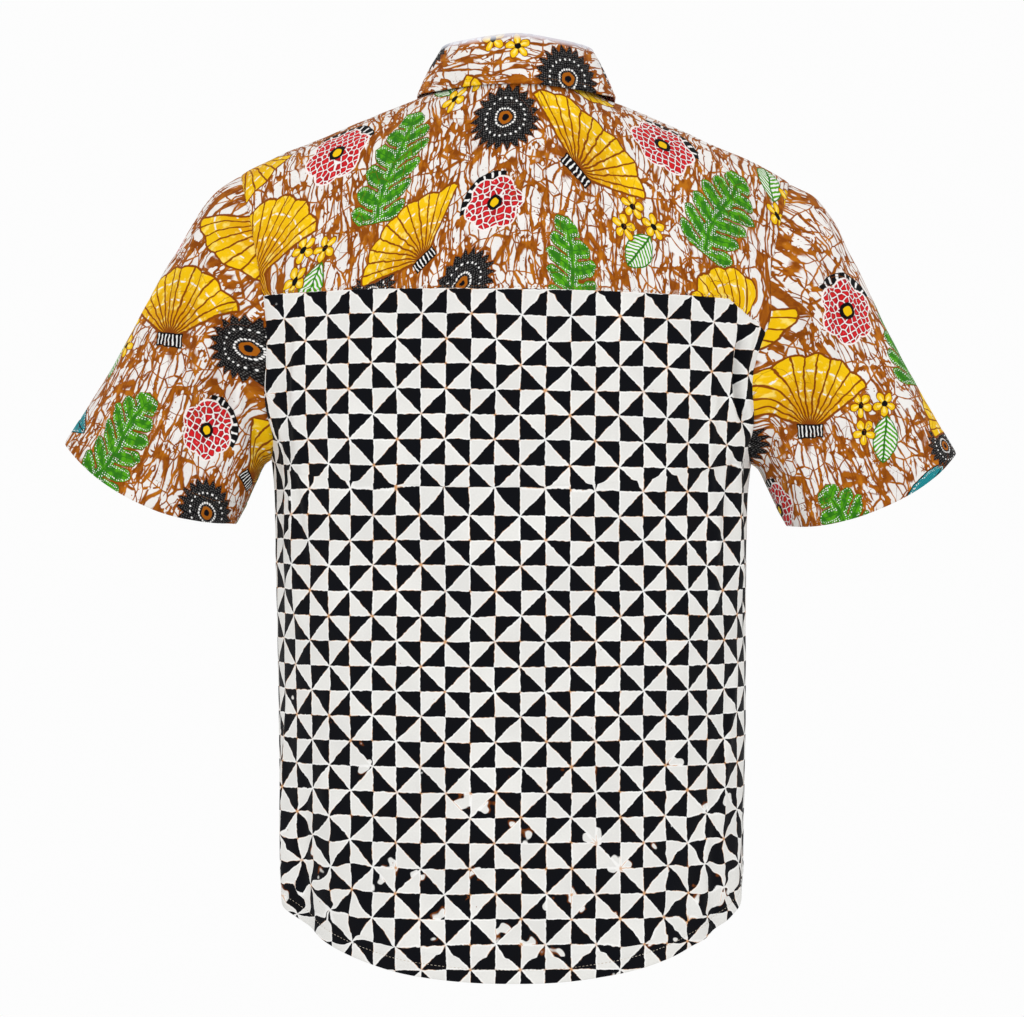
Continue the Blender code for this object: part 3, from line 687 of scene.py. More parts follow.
# A hem's fullness, the depth and half width of the dip at its stitching, and its ripples
HEM_FULL = 0.4
HEM_DIP = 0.45
HEM_DIP_HALF = 1.2
HEM_RIPPLES = (7.0, 0.28, 9.0)


def hem_height(cloth, side, width, seed):
    """A turned hem: fuller below its stitching, drawn in along it."""
    to = cloth.to[side]
    full = HEM_FULL * (1.0 - ease((to - width + 1.0) / 2.0)) * ease(to / 1.6 + 0.2)
    dip = HEM_DIP * hump(to - width, HEM_DIP_HALF)
    return full - dip + pucker_height(cloth, side, width, *HEM_RIPPLES, seed)


def calm(cloth, sides, reach):
    """Fades to nothing at the named edges, where stitching holds the cloth."""
    total = np.ones(cloth.points.shape[:2])
    for side in sides:
        total = total * (1.0 - hump(cloth.to[side], reach))
    return total


# --- meshes ---


def border_of(rows, columns):
    foot = [(0, j) for j in range(columns)]
    right = [(i, columns - 1) for i in range(1, rows)]
    head = [(rows - 1, j) for j in range(columns - 2, -1, -1)]
    left = [(i, 0) for i in range(rows - 2, 0, -1)]
    return np.array(foot + right + head + left)


def cells_of(rows, columns, start, turned):
    i, j = np.meshgrid(np.arange(rows - 1), np.arange(columns - 1), indexing="ij")
    a = (start + i * columns + j).ravel()
    quads = stacked(a, a + 1, a + columns + 1, a + columns)
    return quads[:, ::-1] if turned else quads


def ring_quads(rings, sides, start):
    """The faces between closed rings of points that follow each other from start."""
    i, j = np.meshgrid(np.arange(rings - 1), np.arange(sides), indexing="ij")
    onward = (j + 1) % sides
    a = start + i * sides
    return stacked(a + j, a + onward, a + sides + onward, a + sides + j).reshape(-1, 4)


# The fold at the back of the right armhole: it throws the seam out above and draws it in below.
# columns: x, y, z, reach, shift along x
ARM_FOLD = (
    (-226, 44, -184, 26, -14),
    (-208, 46, -240, 32, 8),
)


def folded(points):
    points = np.asarray(points, float)
    shift = np.zeros(points.shape[:-1])
    for x, y, z, reach, size in ARM_FOLD:
        shift += size * hump(np.linalg.norm((points - np.array([x, y, z])) / reach, axis=-1), 1.0)
    return points + shift[..., None] * np.array([1.0, 0.0, 0.0])


def make_mesh(name, vertices, quads, flats, material):
    """A mesh in metres with its flat coordinates, also in metres, in the map named cloth."""
    mesh = bpy.data.meshes.new(name)
    mesh.vertices.add(len(vertices))
    mesh.vertices.foreach_set("co", (leaned(folded(vertices)) / METRE).astype(np.float32).ravel())
    mesh.loops.add(len(quads) * 4)
    mesh.loops.foreach_set("vertex_index", quads.ravel().astype(np.int32))
    mesh.polygons.add(len(quads))
    mesh.polygons.foreach_set("loop_start", np.arange(0, len(quads) * 4, 4, dtype=np.int32))
    mesh.polygons.foreach_set("use_smooth", np.ones(len(quads), bool))
    mesh.update(calc_edges=True)
    mesh.validate()
    if flats is not None:
        layer = mesh.uv_layers.new(name="cloth")
        layer.data.foreach_set("uv", (flats[quads.ravel()] / METRE).astype(np.float32).ravel())
    mesh.materials.append(material)
    made = bpy.data.objects.new(name, mesh)
    bpy.context.scene.collection.objects.link(made)
    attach(made, "root")
    return made


# How many parts a cut edge's round has, and how far it bulges for each half thickness
EDGE_PARTS = 4
EDGE_REACH = 0.8


def make_shell(name, cloth, material, thickness=CLOTH):
    """Closes a cloth's outer and inner faces with a round edge."""
    points, normals = cloth.points, cloth.normals
    rows, columns = points.shape[:2]
    outer = points + normals * (thickness / 2.0)
    inner = points - normals * (thickness / 2.0)
    count = rows * columns
    border = border_of(rows, columns)
    at = (border[:, 0], border[:, 1])
    loop = points[at]
    onward = unit(np.roll(loop, -1, axis=0) - np.roll(loop, 1, axis=0))
    away = unit(np.cross(onward, normals[at]))
    inwards = points[np.clip(border[:, 0], 1, rows - 2), np.clip(border[:, 1], 1, columns - 2)]
    away = away * np.sign(np.sum(away * (loop - inwards), axis=-1).mean())
    high = outer[at]
    low = inner[at]
    middle = (high + low) / 2.0
    reach = np.linalg.norm(high - low, axis=-1, keepdims=True) / 2.0
    rings = []
    for k in range(1, EDGE_PARTS):
        angle = HALF_TURN * k / EDGE_PARTS
        rings.append(middle + (high - middle) * math.cos(angle) + away * reach * math.sin(angle) * EDGE_REACH)
    vertices = np.concatenate([outer.reshape(-1, 3), inner.reshape(-1, 3)] + rings)
    flat = cloth.flat.reshape(-1, 2)
    flats = np.concatenate([flat, flat] + [cloth.flat[at]] * len(rings))
    quads = [cells_of(rows, columns, 0, False), cells_of(rows, columns, count, True)]
    edge = border[:, 0] * columns + border[:, 1]
    size = len(edge)
    loops = [edge] + [2 * count + k * size + np.arange(size) for k in range(len(rings))] + [edge + count]
    for first, second in zip(loops[:-1], loops[1:]):
        quads.append(stacked(np.roll(first, -1), first, second, np.roll(second, -1)))
    quads = np.concatenate(quads)
    facing = np.cross(points[1, 0] - points[0, 0], points[0, 1] - points[0, 0])
    if float(facing @ normals[0, 0]) > 0:
        quads = quads[:, ::-1]
    return make_mesh(name, vertices, quads, flats, material)


# --- materials: arithmetic on flat coordinates, written out as shader nodes ---


def maths(kind, swapped=False):
    def apply(self, other):
        return self.net.do(kind, other, self) if swapped else self.net.do(kind, self, other)
    return apply


class Num:
    """A number in a material; sums and products of these become maths nodes."""

    def __init__(self, net, socket):
        self.net = net
        self.socket = socket

    __add__ = maths("ADD")
    __radd__ = maths("ADD", swapped=True)
    __sub__ = maths("SUBTRACT")
    __rsub__ = maths("SUBTRACT", swapped=True)
    __mul__ = maths("MULTIPLY")
    __rmul__ = maths("MULTIPLY", swapped=True)
    __truediv__ = maths("DIVIDE")


# Sockets of a colour mix: share, under and over, and the result
MIX_SLOTS = (0, 6, 7)
MIX_RESULT = 2
SHEEN_ROUGHNESS = 0.5


class Net:
    """Builds one material's nodes. Places and sizes are in millimetres."""

    def __init__(self, name, roughness, sheen=0.0, specular=0.08):
        self.material = bpy.data.materials.new(name)
        self.material.use_nodes = True
        self.tree = self.material.node_tree
        self.shader = self.tree.nodes["Principled BSDF"]
        for slot, value in (("Roughness", roughness), ("Specular IOR Level", specular),
                            ("Sheen Weight", sheen), ("Sheen Roughness", SHEEN_ROUGHNESS)):
            self.shader.inputs[slot].default_value = value

    def node(self, kind, **settings):
        made = self.tree.nodes.new("ShaderNode" + kind)
        for key, value in settings.items():
            setattr(made, key, value)
        return made

    def set(self, slot, value):
        value = getattr(value, "socket", value)
        if isinstance(value, bpy.types.NodeSocket):
            self.tree.links.new(value, slot)
        else:
            slot.default_value = value

    def do(self, kind, *values):
        made = self.node("Math", operation=kind)
        for slot, value in zip(made.inputs, values):
            self.set(slot, value)
        return Num(self, made.outputs[0])

    def parts(self, value, kind="XYZ"):
        """The numbers of a vector or a colour."""
        made = self.node("Separate" + kind)
        self.set(made.inputs[0], value)
        return [Num(self, part) for part in made.outputs]

    def flat(self):
        """The cloth's flat coordinates, moved to the piece's own part of the cloth."""
        u, v = self.parts(self.node("UVMap", uv_map="cloth").outputs[0])[:2]
        u = u * METRE + 0.0
        v = v * METRE + 0.0
        u.socket.node.name = "shift_u"
        v.socket.node.name = "shift_v"
        return u, v

    def unshifted(self, value):
        """A flat coordinate as it is on the piece, before that move."""
        return Num(self, value.socket.node.inputs[0].links[0].from_socket)

    def solid(self):
        """The mesh's own coordinates."""
        return [part * METRE for part in self.parts(self.node("TexCoord").outputs["Object"])]

    def place(self, at):
        """A vector from a tuple of numbers; a socket is one already."""
        if not isinstance(at, tuple):
            return at
        made = self.node("CombineXYZ")
        for slot, value in zip(made.inputs, at):
            self.set(slot, value)
        return made.outputs[0]

    def noise(self, at, size, detail=2.0, rough=0.5, pair=False):
        """Noise at a place, from 0 to 1, or a pair of such numbers."""
        at = self.place(at)
        made = self.node("TexNoise")
        for slot, value in (("Vector", at), ("Scale", 1.0 / size), ("Detail", detail), ("Roughness", rough)):
            self.set(made.inputs[slot], value)
        return self.parts(made.outputs["Color"], "Color")[:2] if pair else Num(self, made.outputs["Fac"])

    def cells(self, at, size, feature="F1", scatter=1.0):
        at = self.place(at)
        made = self.node("TexVoronoi", feature=feature)
        for slot, value in (("Vector", at), ("Scale", 1.0 / size), ("Randomness", scatter)):
            self.set(made.inputs[slot], value)
        return made.outputs

    def cell_middle(self, at, size, scatter=1.0):
        """Distance in cell sizes to the nearest cell's middle."""
        return Num(self, self.cells(at, size, scatter=scatter)["Distance"])

    def cell_edge(self, at, size, scatter=1.0):
        """Distance in cell sizes to the cell's edge."""
        return Num(self, self.cells(at, size, "DISTANCE_TO_EDGE", scatter)["Distance"])

    def step(self, value, low, high):
        """0 below low, 1 above high, smooth between; falls instead where low is above high."""
        made = self.node("MapRange", interpolation_type="SMOOTHSTEP")
        turned = low > high
        for slot, end in (("Value", value), ("From Min", min(low, high)), ("From Max", max(low, high)),
                          ("To Min", float(turned)), ("To Max", float(not turned))):
            self.set(made.inputs[slot], end)
        return Num(self, made.outputs["Result"])

    def mix(self, share, under, over, way="MIX"):
        made = self.node("Mix", data_type="RGBA", blend_type=way)
        for slot, value in zip(MIX_SLOTS, (share, under, over)):
            self.set(made.inputs[slot], value)
        return made.outputs[MIX_RESULT]

    def lay(self, under, over, value, low, high, share=None):
        """Lays a colour over another where the value has gone from low to high."""
        where = self.step(value, low, high)
        return self.mix(where if share is None else where * share, under, over)

    def absolute(self, value):
        return self.do("ABSOLUTE", value)

    def length(self, x, y):
        return self.do("SQRT", x * x + y * y)

    def chain(self, kind, first, *others):
        for other in others:
            first = self.do(kind, first, other)
        return first

    def least(self, *values):
        return self.chain("MINIMUM", *values)

    def most(self, *values):
        return self.chain("MAXIMUM", *values)

    def to_line(self, value):
        """Distance to the nearest whole number."""
        return self.absolute(value - self.do("ROUND", value))

    def finish(self, colour, height=None, depth=0.0003, strength=0.6, roughness=None):
        self.set(self.shader.inputs["Base Color"], colour)
        if roughness is not None:
            self.set(self.shader.inputs["Roughness"], roughness)
        if height is not None:
            bump = self.node("Bump")
            for slot, value in (("Strength", strength), ("Distance", depth), ("Height", height)):
                self.set(bump.inputs[slot], value)
            self.set(self.shader.inputs["Normal"], bump.outputs[0])
        return self.material


def srgb(*shades):
    """A colour from its display values, 0 to 255."""
    parts = [value / 255.0 for value in shades]
    return tuple(x / 12.92 if x <= 0.04045 else ((x + 0.055) / 1.055) ** 2.4 for x in parts) + (1.0,)


WHITE = srgb(236, 235, 232)
FIELD = srgb(222, 221, 217)
GROUND = srgb(237, 234, 230)
GROUND_SHADE = srgb(224, 220, 216)
# Painted highlight: the pale bluish colour laid along the collar fall's roll
ROLL_HIGHLIGHT = srgb(226, 228, 238)
INK = srgb(3, 6, 15)
INK_WARM = srgb(9, 8, 10)
INK_GREY = srgb(52, 44, 40)
TAN = srgb(206, 148, 92)
BROWN = srgb(163, 90, 10)
BROWN_DEEP = srgb(130, 64, 5)
BROWN_LIGHT = srgb(182, 108, 16)
YELLOW = srgb(236, 190, 8)
YELLOW_DEEP = srgb(214, 152, 4)
YELLOW_PALE = srgb(250, 226, 120)
GREEN = srgb(82, 160, 18)
GREEN_DEEP = srgb(44, 112, 20)
RED = srgb(206, 30, 36)
RED_DEEP = srgb(160, 20, 30)
PINK = srgb(238, 150, 150)
PINK_PALE = srgb(240, 230, 226)
TEAL = srgb(36, 146, 152)
TEAL_DEEP = srgb(16, 96, 110)
TEAL_PALE = srgb(120, 200, 204)
UNWORN = (1.0, 1.0, 1.0, 1.0)
FADED = (0.90, 0.90, 0.905, 1.0)

CLOTH_SHEEN = 0.03
THREAD = 0.42


def weave_height(net, u, v):
    """Threads over and under, with slubs, as a height from 0 to 1."""
    pace = HALF_TURN / THREAD
    threads = net.do("SINE", u * pace) * net.do("SINE", v * pace)
    slub = net.noise((u * 0.25, v), 1.1)
    slub = slub + net.noise((u, v * 0.25), 1.1)
    soft = net.noise((u, v), 9.0, 3.0)
    return threads * 0.22 + slub * 0.45 + soft * 0.9


def worn(net, colour, u, v):
    """Slight unevenness of the dye."""
    cloud = net.noise((u, v, 40.0), 46.0, 3.0)
    grain = net.noise((u, v, 80.0), 1.6)
    tone = net.lay(FADED, UNWORN, cloud * 0.7 + grain * 0.3, 0.35, 0.7)
    return net.mix(1.0, colour, tone, "MULTIPLY")


def moved(material, name, shift_u, shift_v, pale=0.0):
    """The same cloth cut from another place, with a pale painted highlight along the collar fall's roll near
    u = 0.
    """
    made = material.copy()
    made.name = name
    # pale is how strong the painted highlight along the fall's roll is
    values = {"shift_u": shift_u, "shift_v": shift_v, **({"roll_highlight_share": pale} if pale else {})}
    for node, value in values.items():
        made.node_tree.nodes[node].inputs[1].default_value = value
    return made


# --- pinwheel cloth ---

# A square of the pinwheels, and how far its lines stray, in squares: over the cloth, from the brush,
# and where the cloth was pulled while it was drawn, low and to the sides.
PINWHEEL_WIDE = 20.8
PINWHEEL_TALL = 20.9
DRIFT = 0.22
SHAKE = 0.10
PULL = 1.3
PULLED_FROM = 90.0
PULLED_BELOW = -110.0
# Where the wax let the black in or kept it out
BLOT = 0.735
SMUDGE = 0.715
BLOTS_BELOW = -70.0
SPECK_CELL = 15.0


def pinwheel_cloth(name):
    """Hand-drawn pinwheels of blue-black and white triangles, one with its middle at 0, 0."""
    net = Net(name, roughness=0.82, sheen=CLOTH_SHEEN)
    flat_u, flat_v = net.flat()
    own_u, own_v = net.unshifted(flat_u), net.unshifted(flat_v)

    def noise(seed, size, *rest, **more):
        return net.noise((flat_u, flat_v, seed), size, *rest, **more)

    drift = noise(1.0, 95.0, 1.0, pair=True)
    shake = noise(10.0, 5.5, 2.0, 0.6, pair=True)
    warp = noise(20.0, 24.0, 1.0, pair=True)
    pulled = net.step(net.absolute(own_u), PULLED_FROM, 200.0) * net.step(own_v, PULLED_BELOW, -240.0)

    def squares(flat, size, k):
        return (flat * -1.0 / size + (drift[k] - 0.5) * DRIFT + (shake[k] - 0.5) * SHAKE
                + (warp[k] - 0.5) * pulled * PULL)

    u = squares(flat_u, PINWHEEL_WIDE, 0)
    v = squares(flat_v, PINWHEEL_TALL, 1)
    rising = (u + v) * 0.5
    falling = (u - v) * 0.5
    count = net.do("FLOOR", u)
    for value in (v, rising, falling):
        count = count + net.do("FLOOR", value)
    dark = net.do("FLOORED_MODULO", count, 2.0)
    near = net.least(net.to_line(u), net.to_line(v))
    slant = net.least(net.to_line(rising), net.to_line(falling)) * math.sqrt(2.0)
    near = net.do("SMOOTH_MIN", near, slant, 0.10)
    brush = noise(31.0, 16.0)
    rim = brush * 0.030 - 0.016
    ink = dark * net.step(near - rim, -0.008, 0.014)
    blots = noise(51.0, 28.0)
    low = net.step(own_v, BLOTS_BELOW, -150.0)
    ink = ink * (1.0 - net.step(blots + low * 0.10, BLOT, BLOT + 0.015))
    field = net.lay(FIELD, WHITE, near, 0.075, 0.03)
    # Tan where the wax cracked: at the crossings, along some lines, and in specks
    crossing = net.most(net.to_line(u), net.to_line(v))
    patchy = noise(71.0, 11.0)
    spot = net.step(crossing, 0.085, 0.02) * net.step(patchy, 0.42, 0.60)
    streak = net.step(near, 0.020, 0.004) * net.step(patchy, 0.46, 0.62)
    field = net.mix(net.most(spot, streak * 0.8), field, TAN)
    speck = net.cell_middle((flat_u, flat_v, 1.0), SPECK_CELL)
    speck = net.step(speck + patchy * 0.05, 0.062, 0.042) * net.step(brush, 0.5, 0.56)
    field = net.mix(speck, field, BROWN_DEEP)
    black = net.mix(noise(91.0, 30.0), INK, INK_WARM)
    smudge = net.step(blots + low * 0.10, SMUDGE, BLOT) * net.step(patchy, 0.50, 0.56)
    black = net.mix(smudge * 0.7, black, BROWN_DEEP)
    colour = net.mix(ink, field, black)
    height = weave_height(net, flat_u, flat_v)
    return net.finish(worn(net, colour, flat_u, flat_v), height)


# --- crackled cloth with scattered motifs ---

# Millimetres on the cloth for each unit of the crackle's own sizes
CRACKLE_SIZE = 1.34
# How far the crackle's lines stray across and up the cloth
STRAY_ACROSS = 9.0
STRAY_UP = 12.0
# The smaller and the larger cells, the tongues between walls and the bundled lines beside them
TONGUE_CELL = 11.0
LINE_CELL = 5.6
CROSS_CELL = 12.0
DROP_CELL = 3.2
SPRAY_CELL = 3.6
# Knots with rays stand in cells drawn up a little. columns: cell, seed, radius, length of the rays
KNOTS = (
    (26.0, 31.0, 1.8, 9.0),
    (14.0, 57.0, 0.9, 5.0),
)
KNOT_RAYS = 7.0
KNOT_RISE = 0.85
KNOT_FLAT = 0.6


def crackle(net, u, v):
    """White tongues between brown walls and fine lines, with knots and drops.

    Returns the colour, the grit of the dye and where the brown is dense."""
    u = u / CRACKLE_SIZE
    v = v / CRACKLE_SIZE
    bend = net.noise((u, v, 21.0), 24.0, 3.0, pair=True)
    wide = u + (bend[0] - 0.5) * STRAY_ACROSS
    tall = v + (bend[1] - 0.5) * STRAY_UP
    dense = net.noise((u, v * 0.8, 5.0), 44.0)
    grit = net.noise((u, v * 0.7, 11.0), 3.4)
    thick = net.step(dense, 0.50, 0.66)
    # Wandering branches, which the walls swell along
    branch = net.noise((wide * 0.7, tall, 3.0), 24.0)
    near = net.step(net.absolute(branch - 0.5), 0.105, 0.0)
    # Walls between tall white tongues, with drips that make them ragged
    tongue = net.cell_edge((wide, tall * 0.36), TONGUE_CELL)
    drip = net.noise((wide, tall * 0.12, 8.0), 3.2)
    swell = 0.026 + near * near * 0.06 + thick * 0.05
    swell = swell + (drip - 0.5) * (near * 0.46 + 0.05)
    swell = swell + (grit - 0.5) * near * 0.16
    walls = net.step(tongue - swell, 0.004, -0.004)
    # Long fine lines in bundles, thinning out away from the branches
    bundle = net.noise((wide, tall * 0.3, 5.0), 15.0)
    line = net.cell_edge((wide, tall * 0.11, 3.0), LINE_CELL)
    width = 0.060 + near * 0.05 + (grit - 0.5) * 0.11
    lines = net.step(line - width, 0.03, -0.03) * net.step(bundle + near * 0.12, 0.395, 0.43)
    # White drops left inside the thick places
    drops = net.cell_middle((wide * 1.2, tall * 0.6, 2.0), DROP_CELL)
    brown = net.most(walls, lines) * (1.0 - net.step(drops, 0.37, 0.29) * walls)
    # A few fine lines that cross from wall to wall
    cross = net.cell_edge((wide * 0.7, tall * 0.75, 13.0), CROSS_CELL)
    brown = net.most(brown, net.step(cross + (grit - 0.5) * 0.03, 0.034, 0.018))
    # Knots with tapering rays, each of its own size
    for cell, seed, radius, length in KNOTS:
        star = net.cells((u, v * KNOT_RISE, seed), cell)
        middle = net.parts(star["Position"])
        chance = net.parts(star["Color"])
        share = net.step(chance[0], 0.45, 0.85)
        away_u = u - middle[0]
        away_v = (v - middle[1] / KNOT_RISE) * KNOT_FLAT
        far = net.length(away_u, away_v)
        turn = net.do("ARCTAN2", away_v, away_u)
        ray = net.do("COSINE", turn * KNOT_RAYS + grit * 9.0 + chance[1] * 6.0) * 0.5 + 0.5
        ray = net.do("POWER", ray, 2.5) * length * bend[1]
        reach = share * (radius + 0.8 + ray) + (grit - 0.5) * 2.0 - 0.8
        brown = net.most(brown, net.step(far - reach, 0.3, -0.3))
    # Small brown drops on the white
    spray = net.cell_middle((u, v, 42.0), SPRAY_CELL)
    brown = net.most(brown, net.step(spray, 0.15, 0.09) * net.step(bend[0], 0.48, 0.56))
    ground = net.mix(net.noise((u, v, 60.0), 22.0), GROUND, GROUND_SHADE)
    deep = net.lay(BROWN, BROWN_DEEP, grit, 0.44, 0.62)
    deep = net.lay(deep, BROWN_DEEP, line, 0.09, 0.03, 0.45)
    deep = net.lay(deep, BROWN_LIGHT, net.noise((u, v * 0.5, 77.0), 6.0), 0.52, 0.70)
    return net.mix(brown, ground, deep), grit, dense


REPEAT = (290.0, 280.0)


class Motif:
    """Coordinates round one motif of the repeat, and the marks that its dyes leave there."""

    def __init__(self, net, drawn, marks, middle, turn, size):
        wide, tall = (net.do("WRAP", flat - at, tile / 2.0, -tile / 2.0)
                      for flat, at, tile in zip(drawn, middle, REPEAT))
        angle = math.radians(turn)
        self.net = net
        self.dots, self.mesh, self.grit = marks
        self.x = (wide * math.cos(angle) + tall * math.sin(angle)) / size
        self.y = (tall * math.cos(angle) - wide * math.sin(angle)) / size

    def polar(self, x=0.0, y=0.0):
        across = self.x - x if x else self.x
        up = self.y - y if y else self.y
        return self.net.length(across, up), self.net.do("ARCTAN2", across, up)

    def paint(self, colour, inside, fill, edge=INK_WARM, width=0.9, dotted=0.0):
        """Lays a shape on the cloth. inside is how far a point is within its outline."""
        net = self.net
        colour = net.lay(colour, edge, inside, -width - 0.5, -width + 0.1)
        colour = net.lay(colour, fill, inside, -0.3, 0.2)
        if dotted:
            band = net.step(inside, 0.5, 0.8) * net.step(inside, dotted + 0.8, dotted + 0.2)
            colour = net.mix(band * self.dots, colour, WHITE)
        return colour


FAN_LENGTH = 46.0
FAN_FOOT = -22.0
FAN_HALF_ANGLE = 1.02
FAN_SCALLOPS = 8.5
FAN_RIBS = 5.41
FAN_ARC = 13.0


def fan_shell(net, at, colour):
    """A ribbed fan, yellow, on a small hinge."""
    far, turn = at.polar(0.0, FAN_FOOT)
    scallop = net.absolute(net.do("SINE", turn * FAN_SCALLOPS)) * 2.4
    spread = net.absolute(turn)
    inside = net.least(FAN_LENGTH + scallop - far, (FAN_HALF_ANGLE - spread) * far + 1.0, far - 3.0)
    rib = net.to_line(turn * FAN_RIBS) * far * (1.0 / FAN_RIBS)
    arc = net.to_line(far / FAN_ARC + at.grit * 0.16) * FAN_ARC
    fill = net.lay(YELLOW_DEEP, YELLOW, far, 14.0, FAN_LENGTH)
    fill = net.lay(fill, YELLOW_PALE, at.grit, 0.52, 0.70, 0.7)
    fill = net.lay(fill, BROWN_DEEP, rib, 0.75, 0.35)
    gleam = net.step(arc, 0.8, 0.3) * net.step(rib, 0.9, 1.4)
    fill = net.mix(gleam * net.step(at.grit, 0.42, 0.5), fill, WHITE)
    colour = at.paint(colour, inside, fill, BROWN_DEEP, 1.4)
    hinge = net.least(8.0 - net.absolute(at.x), 3.6 - net.absolute(at.y + 23.5))
    return at.paint(colour, hinge, net.lay(INK_WARM, WHITE, net.to_line(at.x / 2.6), 0.22, 0.12))


LEAFLET_PITCH = 15.0
LEAFLET_HALF = 6.6
SPRIG_TOP = 44.0


def leaf_sprig(net, at, colour):
    """A bending stem with paired round leaflets, green, with white dots inside its edge."""
    bend = net.do("SINE", at.y * 0.055) * 5.0
    side = net.absolute(at.x - bend)
    down = net.to_line((at.y - side * 0.55) / LEAFLET_PITCH) * LEAFLET_PITCH
    span = 6.0 + 15.0 * net.step(at.y, SPRIG_TOP, 10.0)
    leaf = LEAFLET_HALF - down
    leaf = leaf - net.do("POWER", net.absolute(side - span * 0.5) / (span * 0.5 + 1.0), 4.0) * LEAFLET_HALF
    stem = 4.4 - side
    ends = net.least(40.0 - at.y, at.y + 44.0)
    inside = net.least(net.do("SMOOTH_MAX", leaf, stem, 2.0), ends)
    fill = net.lay(GREEN_DEEP, GREEN, at.grit, 0.40, 0.66)
    fill = net.lay(fill, GREEN_DEEP, net.least(down, side), 0.6, 0.2)
    return at.paint(colour, inside, fill, BROWN_DEEP, 0.7, 2.4)


ROSETTE_RADIUS = 17.0
ROSETTE_FRINGE = 5.0
PEARL_ROWS = 6.2
PEARLS = 3.5


def dark_rosette(net, at, colour):
    """A round blue-black rosette with a fringed edge and rings of white dots."""
    far, turn = at.polar()
    fringe = net.do("PINGPONG", turn * 6.7 + at.grit * 0.8, 1.0) * ROSETTE_FRINGE
    inside = ROSETTE_RADIUS + fringe - far
    rows = net.to_line(far / PEARL_ROWS) * PEARL_ROWS
    beads = net.to_line(turn * PEARLS) * far / PEARLS
    pearl = net.step(net.length(rows, beads), 0.85, 0.5)
    eye = net.step(far, 4.4, 4.0)
    fill = net.lay(INK_WARM, INK_GREY, at.grit, 0.5, 0.8, 0.5)
    fill = net.mix(net.most(pearl * net.step(far, 16.5, 15.5), at.dots * 0.10), fill, WHITE)
    fill = net.mix(eye, fill, BROWN)
    fill = net.lay(fill, INK, far, 2.3, 1.9)
    return at.paint(colour, inside, fill, BROWN_DEEP, 1.0)


BLOOM_RADIUS = 22.0
BLOOM_PETAL = 4.5


def red_bloom(net, at, colour):
    """A round red bloom of scales under a white net, with a dark comb of stamens above."""
    far, turn = at.polar()
    petals = net.absolute(net.do("COSINE", turn * 3.0)) * BLOOM_PETAL
    inside = BLOOM_RADIUS + petals - far
    scale = net.lay(RED_DEEP, RED, at.mesh, 0.15, 0.27)
    scale = net.lay(scale, PINK, at.mesh, 0.42, 0.48)
    fill = net.lay(scale, WHITE, at.mesh, 0.105, 0.055)
    fill = net.lay(fill, INK_WARM, far, 7.2, 6.6)
    fill = net.lay(fill, YELLOW, far, 4.2, 3.7)
    comb = net.step(net.to_line(turn * 3.82), 0.16, 0.10)
    crown = net.least(31.0 - far, far - 25.5, (0.95 - net.absolute(turn)) * far)
    colour = at.paint(colour, crown, net.mix(comb, INK_WARM, WHITE))
    return at.paint(colour, inside, fill, PINK_PALE, 1.3)


def teal_leaf(net, at, colour):
    """A long pointed leaf, teal, combed along its length."""
    share = at.y / 40.0
    inside = (1.0 - share * share) * 15.0 - net.absolute(at.x + share * share * 4.0)
    comb = net.to_line(at.x / 1.9 + at.grit * 0.8)
    fill = net.lay(TEAL_DEEP, TEAL, comb, 0.12, 0.3)
    fill = net.lay(fill, TEAL_PALE, at.grit, 0.6, 0.7)
    fill = net.lay(fill, INK_WARM, net.absolute(at.x + share * share * 4.0), 0.9, 0.4)
    return at.paint(colour, inside, fill, INK_WARM, 1.1, 2.0)


SPRAY_LEAF = -9.0
SPRAY_FLOWERS = ((8.0, 7.0), (-7.0, -14.0), (11.5, -12.5))


def flower_spray(net, at, colour):
    """Three small yellow flowers of five petals beside a striped leaf."""
    share = (at.y - 12.0) / 17.0
    inside = (1.0 - share * share) * 9.0 - net.absolute(at.x - SPRAY_LEAF)
    vein = net.to_line((at.y - net.absolute(at.x - SPRAY_LEAF) * 0.8) / 3.4)
    fill = net.lay(GREEN, WHITE, vein, 0.30, 0.20)
    fill = net.lay(fill, GREEN_DEEP, net.absolute(at.x - SPRAY_LEAF), 0.9, 0.5)
    colour = at.paint(colour, inside, fill, GREEN_DEEP)
    for x, y in SPRAY_FLOWERS:
        far, turn = at.polar(x, y)
        petals = net.absolute(net.do("COSINE", turn * 2.5))
        inside = 3.6 + petals * 5.6 - far
        fill = net.lay(YELLOW, BROWN_DEEP, petals, 0.45, 0.2)
        fill = net.mix(net.step(petals, 0.86, 0.97) * net.step(far, 8.0, 5.0), fill, YELLOW_PALE)
        fill = net.lay(fill, INK_WARM, far, 2.6, 2.1)
        colour = at.paint(colour, inside, fill, BROWN_DEEP, 0.8)
    return colour


# The motifs of one repeat. columns: kind, across, up, turn in degrees, size
MOTIFS = (
    (leaf_sprig, -108.0, 42.0, -14.0, 1.15),
    (leaf_sprig, 46.0, -84.0, 18.0, 1.05),
    (flower_spray, -50.0, 92.0, 10.0, 1.15),
    (flower_spray, 104.0, -16.0, 150.0, 1.15),
    (teal_leaf, 118.0, -92.0, -70.0, 0.80),
    (dark_rosette, -46.0, -100.0, 0.0, 1.25),
    (dark_rosette, -12.0, 36.0, 0.0, 1.35),
    (dark_rosette, -128.0, -66.0, 40.0, 1.05),
    (red_bloom, 128.0, 78.0, -30.0, 1.05),
    (red_bloom, -20.0, -40.0, 35.0, 0.90),
    (fan_shell, 60.0, 34.0, -24.0, 1.30),
    (fan_shell, -92.0, -34.0, 28.0, 1.15),
    (fan_shell, 36.0, 118.0, 170.0, 1.20),
)
HAND_SHAKE = 3.4
DOT_CELL = 1.9
SCALE_CELL = 5.6
VEIN_CELL = 14.0


